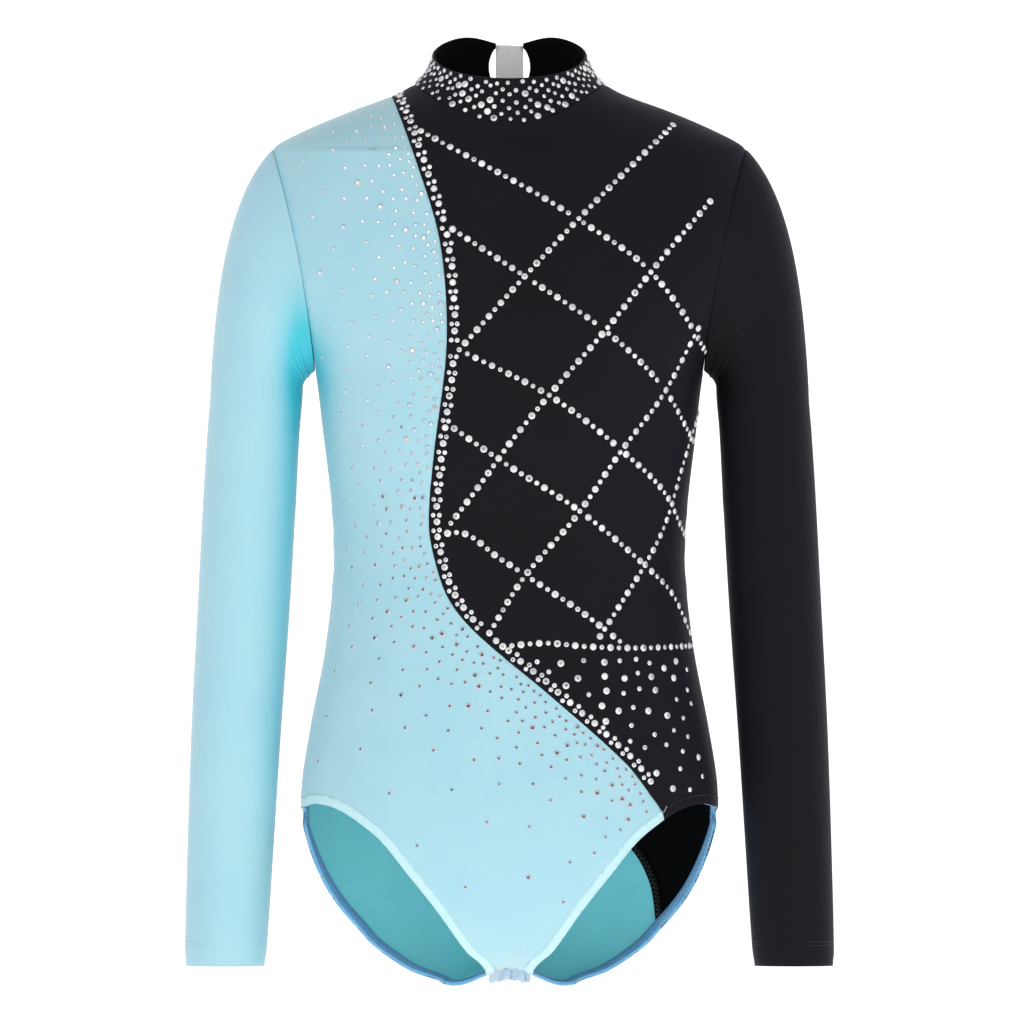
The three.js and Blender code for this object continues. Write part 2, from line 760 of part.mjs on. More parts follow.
const sideSeam = seamLayer
  .intersect(box([0, -half(seamWidth), hipZ - legTop], [far, half(seamWidth), armpitZ - seamWidth]))
  .subtract(keepOut);
const armholeLine = Array.from({ length: 11 }, (_, i) => {
  const z = tipZ + 1 - ((armholeHeight + 2) * i) / 10;
  return new THREE.Vector2(armholeX(z) - half(seamWidth) - clearance, z);
});
const armholeSeam = seamLayer
  .intersect(lineBand(armholeLine, seamWidth))
  .intersect(box([0, -far, armpitZ - 1], [far, far, neckRise]));
const shoulderSeam = seamLayer.intersect(
  box(
    [half(neckWidth) + seamWidth + 3 * clearance, -half(seamWidth), tipZ - shoulderDrop],
    [half(shoulderWidth) - 2 * seamWidth, half(seamWidth), 2 * neckRise],
  ),
);
const neckSeam = seamLayer
  .intersect(neckCutter(seamWidth))
  .subtract(neckCutter(clearance))
  .subtract(prism(keyholeShape(seamWidth + 2 * clearance), 0, far))
  .intersect(box([-far, -far, tipZ - half(shoulderDrop)], [far, far, far]));
const keyholeBinding = seamLayer
  .intersect(prism(keyholeShape(seamWidth), 0, far))
  .subtract(prism(keyholeShape(clearance), 0, far))
  .subtract(neckCutter(clearance));
const crotchSeam = seamLayer
  .intersect(
    box(
      [-half(crotchWidth), -half(seamWidth), bottomZ - 5],
      [half(crotchWidth), half(seamWidth), bottomZ + 20],
    ),
  )
  .subtract(keepOut);

// The lining doubles the crotch and the lower front, inside the elastics.
const liningTop = 62; // above the lowest point
const liningShape = new THREE.Shape([
  new THREE.Vector2(half(crotchWidth) - 1, bottomZ - 5),
  new THREE.Vector2(half(crotchWidth) - 1, bottomZ + crotchLift + 2),
  new THREE.Vector2(half(crotchWidth) + 38, bottomZ + liningTop),
  new THREE.Vector2(-half(crotchWidth) - 38, bottomZ + liningTop),
  new THREE.Vector2(-half(crotchWidth) + 1, bottomZ + crotchLift + 2),
  new THREE.Vector2(-half(crotchWidth) + 1, bottomZ - 5),
]);
const crotchLining = liningLayer
  .intersect(prism(liningShape))
  .intersect(box([-far, -far, -far], [far, half(hipBack), far]))
  .subtract(box([-far, 0, bottomZ + crotchLift], [far, far, far]));

// ---- materials and assembly ----

const clothFinish = { roughness: 0.55, metalness: 0 };
const aqua = new THREE.MeshStandardMaterial({ color: 0xa8dcea, ...clothFinish });
const black = new THREE.MeshStandardMaterial({ color: 0x1f1e24, ...clothFinish });
const blackThread = new THREE.MeshStandardMaterial({ color: 0x17161b, roughness: 0.8, metalness: 0 });
const aquaThread = new THREE.MeshStandardMaterial({ color: 0x7fc4e4, roughness: 0.8, metalness: 0 });
const blueElastic = new THREE.MeshStandardMaterial({ color: 0x5ea6de, roughness: 0.75, metalness: 0 });
const whiteTape = new THREE.MeshStandardMaterial({ color: 0xd6d6d6, roughness: 0.8, metalness: 0 });
const plainLining = new THREE.MeshStandardMaterial({ color: 0xcfe6ea, roughness: 0.75, metalness: 0 });
const steel = new THREE.MeshStandardMaterial({ color: 0xc9ccd0, roughness: 0.3, metalness: 0.9 });

const leotard = new THREE.Group();

function piece(parent, name, shape, material) {
  const geometry = shape.isBufferGeometry ? shape : geometryOf(shape);
  const mesh = new THREE.Mesh(geometry, material);
  mesh.name = name;
  parent.add(mesh);
  return mesh;
}

piece(leotard, "front_panel_aqua", frontAqua, aqua);
piece(leotard, "front_panel_black", frontBlack, black);
piece(leotard, "back_panel_aqua", backAqua, aqua);
piece(leotard, "back_panel_black", backBlack, black);
piece(leotard, "collar", collar, black);
piece(leotard, "crotch_lining", crotchLining, plainLining);

// The right sleeve is aqua and the left one black. Each has its seam and its cuff's stitching.
const sides = [
  { side: "right", place: mirrorX, sleeve: aqua, thread: aquaThread },
  { side: "left", place: (manifold) => manifold, sleeve: black, thread: blackThread },
];
for (const { side, place, sleeve, thread } of sides) {
  piece(leotard, `sleeve_${side}`, place(sleeveCloth), sleeve);
  piece(leotard, `sleeve_seam_${side}`, place(sleeveSeam), thread);
  piece(leotard, `cuff_stitching_${side}`, place(cuffStitching), thread);
  piece(leotard, `armhole_seam_${side}`, place(armholeSeam), thread);
  piece(leotard, `shoulder_seam_${side}`, place(shoulderSeam), thread);
  piece(leotard, `side_seam_${side}`, place(sideSeam), thread);
  piece(leotard, `leg_elastic_${side}`, place(legElastic), blueElastic);
}
piece(leotard, "wave_seam_front", waveSeamFront, blackThread);
piece(leotard, "wave_seam_back", waveSeamBack, blackThread);
piece(leotard, "neck_seam", neckSeam, blackThread);
piece(leotard, "keyhole_binding", keyholeBinding, blackThread);
piece(leotard, "crotch_seam", crotchSeam, aquaThread);

// The closure leans with the back of the collar.
const closure = new THREE.Group();
closure.position.copy(closureMiddle);
closure.rotation.x = Math.atan2(half(neckDepth) - half(collarTopDepth), 2 * closureHeight);
leotard.add(closure);

function tape(fromX, toX, foot) {
  const geometry = new THREE.BoxGeometry(toX - fromX, tapeThick, closureHeight);
  return geometry.translate((fromX + toX) / 2, foot + half(tapeThick), 0);
}
piece(closure, "eye_tape", tape(-tapeOverlap, half(closureWidth), 0), whiteTape);
piece(closure, "hook_tape", tape(-half(closureWidth), tapeOverlap, hookTapeFoot), whiteTape);
for (const [name, z] of [["upper", half(hookPitch)], ["lower", -half(hookPitch)]]) {
  piece(closure, `hook_${name}`, wire(hookWire(z), 22), steel);
  piece(closure, `eye_${name}`, wire(eyeWire(z), 8), steel);
}

export default leotard;
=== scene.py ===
import json
import math

import bmesh
import bpy
import numpy as np
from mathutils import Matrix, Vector, bvhtree, kdtree, noise


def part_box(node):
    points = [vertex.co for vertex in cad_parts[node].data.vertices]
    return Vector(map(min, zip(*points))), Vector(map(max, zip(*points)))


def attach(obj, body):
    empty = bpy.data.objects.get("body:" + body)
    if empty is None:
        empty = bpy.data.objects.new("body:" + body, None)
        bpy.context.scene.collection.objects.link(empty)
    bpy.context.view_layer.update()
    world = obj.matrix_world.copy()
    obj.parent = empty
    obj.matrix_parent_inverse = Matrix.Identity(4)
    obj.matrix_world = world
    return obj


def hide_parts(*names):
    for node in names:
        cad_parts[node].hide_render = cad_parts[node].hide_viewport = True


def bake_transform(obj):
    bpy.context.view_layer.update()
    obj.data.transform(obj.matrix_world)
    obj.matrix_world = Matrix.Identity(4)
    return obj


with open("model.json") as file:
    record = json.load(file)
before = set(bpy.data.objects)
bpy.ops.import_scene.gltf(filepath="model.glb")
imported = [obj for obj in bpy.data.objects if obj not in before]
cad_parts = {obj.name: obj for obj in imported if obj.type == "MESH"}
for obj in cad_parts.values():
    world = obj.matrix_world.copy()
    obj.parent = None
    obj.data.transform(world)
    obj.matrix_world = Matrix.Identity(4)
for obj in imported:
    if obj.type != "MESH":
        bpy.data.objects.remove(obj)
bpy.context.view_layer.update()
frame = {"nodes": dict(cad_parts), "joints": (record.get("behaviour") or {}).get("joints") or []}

mm = 0.001
shoulderTip = Vector(next(j["pos_m"] for j in frame["joints"] if j["name"] == "raise_left_sleeve"))
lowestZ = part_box("back_panel_aqua")[0].z - 3 * mm
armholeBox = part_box("armhole_seam_left")


def srgb(red, green, blue, alpha=1.0):  # a screen colour, 0 to 255, as a linear one
    def linear(value):
        value = value / 255
        return value / 12.92 if value <= 0.04045 else ((value + 0.055) / 1.055) ** 2.4
    return (linear(red), linear(green), linear(blue), alpha)


bodyForm = {
    "tipZ": shoulderTip.z,
    "tipX": shoulderTip.x,
    "armpitZ": armholeBox[0].z + 1 * mm,
    "armpitX": 116.5 * mm,
    "armholeScoop": 3 * mm,
    "armholeDepth": 0.6,  # share of the chest's depth
    "hipZ": -414 * mm,
    "hipFront": 74 * mm,
    "hipBack": 92 * mm,
    "hipHalf": 125 * mm,
    "crotchLift": 13 * mm,
    "lobeReach": 37 * mm,
    "neckHalf": 57.5 * mm,
    "neckDepthHalf": 49 * mm,
    "neckBehind": 4 * mm,
}
tipZ, armpitZ, hipZ = bodyForm["tipZ"], bodyForm["armpitZ"], bodyForm["hipZ"]
rise = hipZ - lowestZ


def curveThrough(*knots):  # a smooth curve through (position, value) knots in mm, level at both ends
    at = np.array([k[0] for k in knots]) * mm
    values = np.array([k[1] for k in knots]) * mm
    slopes = np.zeros(len(at))
    slopes[1:-1] = (values[2:] - values[:-2]) / (at[2:] - at[:-2])

    def value(position):
        position = np.clip(position, at[0], at[-1])
        i = np.clip(np.searchsorted(at, position, side="right") - 1, 0, len(at) - 2)
        span = at[i + 1] - at[i]
        t = (position - at[i]) / span
        bulge = t * (1 - t) * ((1 - t) * slopes[i] - t * slopes[i + 1]) * span
        return values[i] + (values[i + 1] - values[i]) * t * t * (3 - 2 * t) + bulge
    return value


trunkHalf = curveThrough(
    (-414, 125), (-372, 119.6), (-325, 111), (-276, 105.4), (-240, 106.5), (-193, 112), (-157, 116.5), (-24, 142),
)
ridgeHalf = curveThrough(
    (-48, 154), (-24, 142), (-12.6, 122.4), (-0.6, 93), (5.4, 77), (10.2, 65.5), (15, 57), (28, 29),
)
frontDepth = curveThrough((-414, 74), (-264, 70), (-157, 75), (-90, 68), (-24, 53), (-11, 46), (14, 28), (28, 15))
backDepth = curveThrough((-414, 92), (-264, 64), (-157, 80), (-90, 82), (-24, 70), (0, 61), (14, 53), (28, 41))
squarenessOf = curveThrough((-529, 2200), (-414, 2350), (-264, 2200), (-157, 2300), (-24, 1900), (28, 1900))


def armholeX(z):
    share = np.clip((tipZ - z) / (tipZ - armpitZ), 0, 1)
    straight = bodyForm["tipX"] + (bodyForm["armpitX"] - bodyForm["tipX"]) * share
    return straight - bodyForm["armholeScoop"] * np.sin(np.pi * share)


def section(z):  # half width, front depth, back depth and squareness at a height
    z = np.asarray(z, float)
    power = squarenessOf(z)
    drop = np.clip((hipZ - z) / rise, 0, 1)
    width = np.where(z > tipZ, ridgeHalf(z), trunkHalf(z))
    share = np.clip((tipZ - z) / (tipZ - armpitZ), 0, 1)
    opening = 2 * bodyForm["armholeDepth"] * np.sqrt(share * (1 - share))
    atArmhole = armholeX(z) / (1 - opening ** power) ** (1 / power)
    width = np.where((z > armpitZ) & (z < tipZ), atArmhole, width)
    below = z < hipZ
    width = np.where(below, bodyForm["hipHalf"] * (1 - drop ** 3) ** 0.294, width)
    front = np.where(below, bodyForm["hipFront"] * (1 - drop ** 2) ** 0.55, frontDepth(z))
    back = np.where(below, bodyForm["hipBack"] * (1 - drop ** 3) ** 0.35, backDepth(z))
    return width, front, back, power


def drawnUp(x, z):  # the crotch is drawn up between the seat's two lobes
    drop = np.clip((hipZ - z) / rise, 0, 1)
    across = np.cos(np.minimum(1, np.abs(x) / bodyForm["lobeReach"]) * np.pi / 2) ** 2
    return bodyForm["crotchLift"] * drop ** 6 * across


def fullness(x, y, z):  # under 1 inside the form and over 1 outside it
    width, front, back, power = section(z - drawnUp(x, z))
    depth = np.where(y < 0, front, back)
    return np.abs(x / np.maximum(width, mm)) ** power + np.abs(y / np.maximum(depth, mm)) ** power


def facing(points):  # which way the form faces
    x, y, z = points.T
    step = 0.6 * mm
    slope = np.stack([
        fullness(x + step, y, z) - fullness(x - step, y, z),
        fullness(x, y + step, z) - fullness(x, y - step, z),
        fullness(x, y, z + step) - fullness(x, y, z - step),
    ], axis=1)
    slope /= np.maximum(np.linalg.norm(slope, axis=1, keepdims=True), 1e-9)
    under = np.exp(-((np.hypot(x, y) / (16 * mm)) ** 2)) * np.clip((-500 * mm - z) / (8 * mm), 0, 1)
    slope += (np.array([0, 0, -1]) - slope) * under[:, None]
    return slope / np.maximum(np.linalg.norm(slope, axis=1, keepdims=True), 1e-9)


def onForm(x, z, side):  # the form's point at a width and height, in front (side -1) or behind (1)
    width, front, back, power = section(z)
    reach = np.minimum(1, np.abs(x) / width)
    depth = (1 - reach ** power) ** (1 / power) * np.where(side < 0, front, back)
    return np.stack([x, side * depth, z + drawnUp(x, z)], axis=-1)


def underForm(x, y):  # the form's underside below a point of the plan
    low, high = lowestZ, hipZ
    for _ in range(30):
        z = (low + high) / 2
        width, front, back, power = (float(v) for v in section(z))
        full = abs(x / max(width, mm)) ** power + abs(y / max(front if y < 0 else back, mm)) ** power
        low, high = (low, z) if full < 1 else (z, high)
    return high + float(drawnUp(x, high))


def formHeight(x, y, inside, past):
    near, away = inside, past
    for _ in range(30):
        z = (near + away) / 2
        if fullness(np.array(x), np.array(y), np.array(z)) < 1:
            near = z
        else:
            away = z
    return near


cloth = {"columns": 132, "rowStep": 2.6 * mm, "thickness": 0.9 * mm}


def halfForm(side):  # the front (-1) or back (1) half of the form as a fine net; u and v are cloth lengths
    reach = np.linspace(0.02, 0.62, 26)
    bowl = hipZ - (1 - reach ** (1 / 0.294)) ** (1 / 3) * rise
    trunk = np.arange(bowl[-1] + cloth["rowStep"], tipZ, cloth["rowStep"])
    shoulders = np.arange(tipZ, 24 * mm, 0.9 * mm)
    heights = np.concatenate([bowl, trunk, shoulders])
    angles = np.linspace(0, np.pi, cloth["columns"] + 1)
    width, front, back, power = section(heights)
    bend = 2 / power[:, None]
    cos, sin = np.cos(angles)[None, :], np.clip(np.sin(angles), 0, 1)[None, :]
    x = width[:, None] * np.sign(cos) * np.abs(cos) ** bend
    y = side * np.where(side < 0, front, back)[:, None] * sin ** bend
    z = heights[:, None] + drawnUp(x, heights[:, None])
    soft = y.copy()  # the shoulder turns over gently between the armhole and the neck
    for _ in range(60):
        soft[1:-1] = (soft[:-2] + 2 * soft[1:-1] + soft[2:]) / 4
    share = np.exp(-(((z - tipZ) / (15 * mm)) ** 2)) * np.clip((armholeX(z) - np.abs(x)) / (32 * mm) - 0.1, 0, 1)
    y = y + (soft - y) * share
    net = np.stack([x, y, z], axis=-1)
    across = np.linalg.norm(np.diff(net, axis=1), axis=2)
    u = np.concatenate([np.zeros((len(heights), 1)), np.cumsum(across, axis=1)], axis=1)
    u -= u[:, [cloth["columns"] // 2]]
    middle = net[:, cloth["columns"] // 2]
    v = np.concatenate([[0], np.cumsum(np.linalg.norm(np.diff(middle, axis=0), axis=1))])
    v = np.broadcast_to(v[:, None], u.shape)
    points = np.concatenate([net, u[..., None], v[..., None]], axis=-1).reshape(-1, 5)
    count = cloth["columns"] + 1
    faces = []
    for i in range(len(heights) - 1):
        for j in range(cloth["columns"]):
            a = i * count + j
            quad = (a, a + 1, a + 1 + count, a + count)
            faces.append(quad if side > 0 else quad[::-1])
    return points, faces


def clip(net, field):  # keeps what lies where the field is below zero, cutting faces along its edge
    points, faces = net
    value = field(points)
    value = np.where(np.abs(value) < 1e-7, -1e-7, value)
    kept = value < 0
    points = list(points)
    made = {}

    def crossing(a, b):
        key = (a, b) if a < b else (b, a)
        if key not in made:
            t = value[a] / (value[a] - value[b])
            made[key] = len(points)
            points.append(points[a] + (points[b] - points[a]) * t)
        return made[key]

    result = []
    keptList = kept.tolist()
    for face in faces:
        inside = [keptList[i] for i in face]
        if all(inside):
            result.append(face)
        elif any(inside):
            cut = []
            for k, i in enumerate(face):
                j = face[(k + 1) % len(face)]
                if inside[k]:
                    cut.append(i)
                if inside[k] != inside[(k + 1) % len(face)]:
                    cut.append(crossing(i, j))
            if len(cut) > 2:
                result.append(tuple(cut))
    used = sorted({i for face in result for i in face})
    place = {old: new for new, old in enumerate(used)}
    return np.array([points[i] for i in used]), [tuple(place[i] for i in f) for f in result]


def joined(first, second):  # two nets as one
    start = len(first[0])
    return np.concatenate([first[0], second[0]]), first[1] + [tuple(i + start for i in f) for f in second[1]]


def traceLine(net, field):  # the lines along which the field is zero, as rows of points
    points, faces = net
    value = field(points)
    value = np.where(np.abs(value) < 1e-7, 1e-7, value)
    spots, links = {}, {}
    for face in faces:
        ends = []
        for k, i in enumerate(face):
            j = face[(k + 1) % len(face)]
            if (value[i] < 0) != (value[j] < 0):
                key = (min(i, j), max(i, j))
                t = value[key[0]] / (value[key[0]] - value[key[1]])
                spots[key] = points[key[0]] + (points[key[1]] - points[key[0]]) * t
                ends.append(key)
        if len(ends) == 2:
            links.setdefault(ends[0], []).append(ends[1])
            links.setdefault(ends[1], []).append(ends[0])
    lines, seen = [], set()
    starts = [k for k in links if len(links[k]) == 1] + list(links)
    for start in starts:
        if start in seen:
            continue
        line, here = [start], start
        seen.add(start)
        while True:
            onward = [k for k in links[here] if k not in seen]
            if not onward:
                break
            here = onward[0]
            seen.add(here)
            line.append(here)
        if len(line) > 4:
            lines.append(np.array([spots[k][:3] for k in line]))
    return lines


waveFront = curveThrough(
    (-560, 104), (-424, 92.1), (-410, 83.7), (-391, 68.7), (-352, 24.9), (-314, -20.1), (-295, -35.7), (-275, -43.5),
    (-250, -48.2), (-208, -45.3), (-150, -38.1), (-112, -38.1), (-74, -42.9), (-35, -54.9), (3, -68.7), (34, -82),
)
waveBack = curveThrough(
    (-560, 96), (-484, 91), (-463, 87), (-443, 75), (-405, 32), (-368, -12), (-338, -34), (-300, -46),
    (-250, -48.2), (-190, -43), (-130, -38.1), (-74, -42.9), (-35, -54.9), (3, -68.7), (34, -82),
)
legFront = curveThrough(
    (13.5, -515.4), (19, -510.6), (26, -504.6), (43, -480.6), (62, -456.6), (76.5, -438.6), (91, -426.6),
    (100.5, -420.6), (108, -417.6), (117, -416.4), (125, -418.5), (140, -421),
)
legBack = curveThrough(
    (-526, 40), (-518.4, 58.8), (-504.6, 80), (-492.6, 91.5), (-480.6, 102), (-468.6, 110), (-456.6, 115.8),
    (-444.6, 120.3), (-430, 124), (-419, 125.2), (-400, 150), (-380, 170),
)
seatEdge = curveThrough((13, 3), (19.5, 16), (37, 28.5), (58.8, 35.6), (74, 40.6))
crotchHalf = 13.2 * mm


def waveField(wave):  # distance to the wave seam, below zero on the aqua side
    def field(p):
        slope = (wave(p[:, 2] + mm) - wave(p[:, 2] - mm)) / (2 * mm)
        return (p[:, 0] - wave(p[:, 2])) / np.sqrt(1 + slope ** 2)
    return field


def armholeField(p):
    past = np.maximum(0, armpitZ - p[:, 2])
    return np.abs(p[:, 0]) - armholeX(p[:, 2]) - 2 * past


def neckField(p):
    away = (p[:, 0] / bodyForm["neckHalf"]) ** 2
    away += ((p[:, 1] - bodyForm["neckBehind"]) / bodyForm["neckDepthHalf"]) ** 2
    return np.where(p[:, 2] > -70 * mm, (1 - np.sqrt(away)) * bodyForm["neckDepthHalf"], -1)


def legFrontField(p):
    x = np.abs(p[:, 0])
    slope = (legFront(np.maximum(x, 13.5 * mm) + mm) - legFront(np.maximum(x, 13.5 * mm) - mm)) / (2 * mm)
    edge = legFront(np.maximum(x, 13.5 * mm)) - 30 * np.maximum(0, 13.5 * mm - x)
    return (edge - p[:, 2]) / np.sqrt(1 + slope ** 2)


def legBackField(p):
    slope = (legBack(p[:, 2] + mm) - legBack(p[:, 2] - mm)) / (2 * mm)
    outer = (np.abs(p[:, 0]) - legBack(p[:, 2])) / np.sqrt(1 + slope ** 2)
    x = np.clip(np.abs(p[:, 0]), 13 * mm, 74 * mm)
    inner = np.minimum(seatEdge(x) - p[:, 1], 2 * (np.abs(p[:, 0]) - crotchHalf))
    inner = np.minimum(inner, -515 * mm - p[:, 2])
    return np.maximum(outer, inner)


def distanceTo(lines, below):  # how far inside a cut edge a point lies, as a field; -1 above a height
    spots = []
    for line in lines:
        spots.extend(alongLine(line, 0.5 * mm))
    tree = kdtree.KDTree(len(spots))
    for i, spot in enumerate(spots):
        tree.insert(Vector(spot), i)
    tree.balance()

    def field(p):
        value = np.full(len(p), -1.0)
        for i in np.nonzero(p[:, 2] < below)[0]:
            value[i] = -tree.find(Vector(p[i, :3]))[2]
        return value
    return field


def alongLine(points, pitch):  # evenly spaced points along a line
    length = np.r_[0, np.cumsum(np.linalg.norm(np.diff(points, axis=0), axis=1))]
    count = max(2, int(round(length[-1] / pitch)) + 1)
    at = np.linspace(0, length[-1], count)
    return np.stack([np.interp(at, length, points[:, k]) for k in range(3)], axis=1)


def keyholeField(p):
    radius, length, throat = 19 * mm, 74 * mm, 8.6 * mm
    low = 14 * mm - length + radius
    up = np.clip((p[:, 2] - low) / (length - radius - 16 * mm), 0, 1)
    half = radius + (throat - radius) * up * up * (3 - 2 * up)
    below = np.hypot(p[:, 0], np.minimum(0, p[:, 2] - low)) - radius
    above = np.abs(p[:, 0]) - half
    return -np.where(p[:, 2] < low, below, above)


seams = {"groove": 0.4 * mm, "grooveWidth": 1.5 * mm}


def wrinkles(points):  # how far the cloth stands out or in: drag lines at the armpits, soft pulls elsewhere
    x, y, z = points[:, 0], points[:, 1], points[:, 2]
    lift = np.zeros(len(points))
    side = np.where(y < 0, 1.0, 0.8)
    for turn, reach, depth in ((-0.25, 46, 0.9), (-0.62, 60, 0.8), (-1.0, 52, 0.6), (0.15, 34, 0.5)):
        dx = (bodyForm["armpitX"] - 3 * mm) - np.abs(x)
        dz = z - (armpitZ + 6 * mm)
        along = dx * math.cos(turn) + dz * math.sin(turn)
        across = -dx * math.sin(turn) + dz * math.cos(turn)
        fade = np.clip(along / (8 * mm), 0, 1) * np.exp(-np.clip(along, 0, None) / (reach * mm * 0.55))
        width = 2.6 * mm + 0.10 * np.clip(along, 0, None)
        lift += side * depth * mm * fade * np.exp(-((across / width) ** 2))
    for centre, tilt, depth in ((-262, 0.10, 0.35), (-285, -0.12, 0.30), (-244, 0.2, 0.25)):
        across = z - centre * mm - tilt * (np.abs(x) - 0.1)
        fade = np.clip((np.abs(x) - 55 * mm) / (50 * mm), 0, 1)
        lift += depth * mm * fade * np.exp(-((across / (4.5 * mm)) ** 2))
    rough = np.array([noise.noise(Vector((px * 26, py * 26, pz * 11 + 7))) for px, py, pz in points[:, :3]])
    fine = np.array([noise.noise(Vector((px * 70 + 3, py * 70, pz * 34))) for px, py, pz in points[:, :3]])
    calm = 0.25 + 0.75 * np.clip((z - hipZ + 10 * mm) / (60 * mm), 0, 1)
    lift += calm * (0.5 * mm * rough + 0.10 * mm * fine)
    gathered = np.clip((-498 * mm - z) / (20 * mm), 0, 1) * np.clip(1.6 - np.abs(x) / (10 * mm), 0, 1)
    lift += gathered * 0.7 * mm * np.sin(x * 1150 + 0.8)
    return lift


def relief(points, seamFields, out=0.0):  # moves points off the form by the wrinkles and the seams' grooves
    away = facing(points[:, :3])
    lift = wrinkles(points) + out
    for field in seamFields:
        lift -= seams["groove"] * np.exp(-((field(points) / seams["grooveWidth"]) ** 2))
    moved = points.copy()
    moved[:, :3] += away * lift[:, None]
    return moved


def meshOf(name, net, materials):
    points, faces = net
    data = bpy.data.meshes.new(name)
    data.from_pydata([tuple(p[:3]) for p in points], [], faces)
    if points.shape[1] > 3:
        layer = data.uv_layers.new(name="cloth")
        index = np.zeros(len(data.loops), int)
        data.loops.foreach_get("vertex_index", index)
        layer.data.foreach_set("uv", points[index, 3:5].astype(np.float32).ravel())
    data.shade_smooth()
    piece = bpy.data.objects.new(name, data)
    bpy.context.scene.collection.objects.link(piece)
    for material in materials:
        data.materials.append(material)
    return piece


def storeAttribute(data, name, kind, values):
    attribute = data.attributes.new(name, kind, "POINT")
    attribute.data.foreach_set("vector" if kind == "FLOAT_VECTOR" else "value", np.asarray(values, np.float32).ravel())


def finished(piece):  # turns the modifiers' result into the piece's plain mesh
    bpy.context.view_layer.update()
    shown = piece.evaluated_get(bpy.context.evaluated_depsgraph_get())
    data = bpy.data.meshes.new_from_object(shown)
    piece.modifiers.clear()
    piece.data = data
    data.name = piece.name
    return piece


def thicken(piece, thickness, inner=0):  # a wall inwards from the face; its inside may use another slot
    wall = piece.modifiers.new("wall", "SOLIDIFY")
    wall.thickness = thickness
    wall.offset = -1
    wall.material_offset = inner
    wall.material_offset_rim = 0
    return finished(piece)


def areaOf(piece):
    return sum(p.area for p in piece.data.polygons)


def nodeIn(tree, kind, **settings):
    node = tree.nodes.new(kind)
    for name, value in settings.items():
        if hasattr(node, name):
            setattr(node, name, value)
    return node


def mathNode(tree, operation, first, second=None):
    node = nodeIn(tree, "ShaderNodeMath", operation=operation)
    for socket, value in zip(node.inputs, (first, second)):
        if value is None:
            continue
        if isinstance(value, (int, float)):
            socket.default_value = value
        else:
            tree.links.new(value, socket)
    return node.outputs[0]


def buildKnitGroup():  # fine columns of knit loops, with a soft cloudiness
    group = bpy.data.node_groups.new("knit", "ShaderNodeTree")
    for name, value in (("Pitch", 0.00055), ("Cloud Size", 0.03), ("Seed", 0.0)):
        group.interface.new_socket(name=name, in_out="INPUT", socket_type="NodeSocketFloat").default_value = value
    for name in ("Height", "Cloud", "Grain"):
        group.interface.new_socket(name=name, in_out="OUTPUT", socket_type="NodeSocketFloat")
    enter = group.nodes.new("NodeGroupInput")
    leave = group.nodes.new("NodeGroupOutput")
    uv = nodeIn(group, "ShaderNodeUVMap", uv_map="cloth")
    split = group.nodes.new("ShaderNodeSeparateXYZ")
    group.links.new(uv.outputs[0], split.inputs[0])
    turn = mathNode(group, "DIVIDE", 2 * math.pi, enter.outputs["Pitch"])
    wale = mathNode(group, "SINE", mathNode(group, "MULTIPLY", split.outputs["X"], turn))
    alongCloth = mathNode(group, "MULTIPLY", split.outputs["Y"], turn)
    course = mathNode(group, "SINE", mathNode(group, "MULTIPLY", alongCloth, 1.3))
    rise = mathNode(group, "ADD", mathNode(group, "MULTIPLY", course, 0.25), 0.75)
    loops = mathNode(group, "MULTIPLY", mathNode(group, "ABSOLUTE", wale), rise)
    place = nodeIn(group, "ShaderNodeTexCoord")
    grain = nodeIn(group, "ShaderNodeTexNoise", noise_dimensions="4D")
    grain.inputs["Scale"].default_value = 900
    grain.inputs["Detail"].default_value = 2
    cloud = nodeIn(group, "ShaderNodeTexNoise", noise_dimensions="4D")
    cloud.inputs["Detail"].default_value = 3
    group.links.new(mathNode(group, "DIVIDE", 1.0, enter.outputs["Cloud Size"]), cloud.inputs["Scale"])
    for texture in (grain, cloud):
        group.links.new(place.outputs["Object"], texture.inputs["Vector"])
        group.links.new(enter.outputs["Seed"], texture.inputs["W"])
    fineGrain = mathNode(group, "MULTIPLY", grain.outputs["Fac"], 0.4)
    height = mathNode(group, "ADD", mathNode(group, "MULTIPLY", loops, 0.6), fineGrain)
    group.links.new(height, leave.inputs["Height"])
    group.links.new(cloud.outputs["Fac"], leave.inputs["Cloud"])
    group.links.new(grain.outputs["Fac"], leave.inputs["Grain"])
    return group


knitGroup = buildKnitGroup()


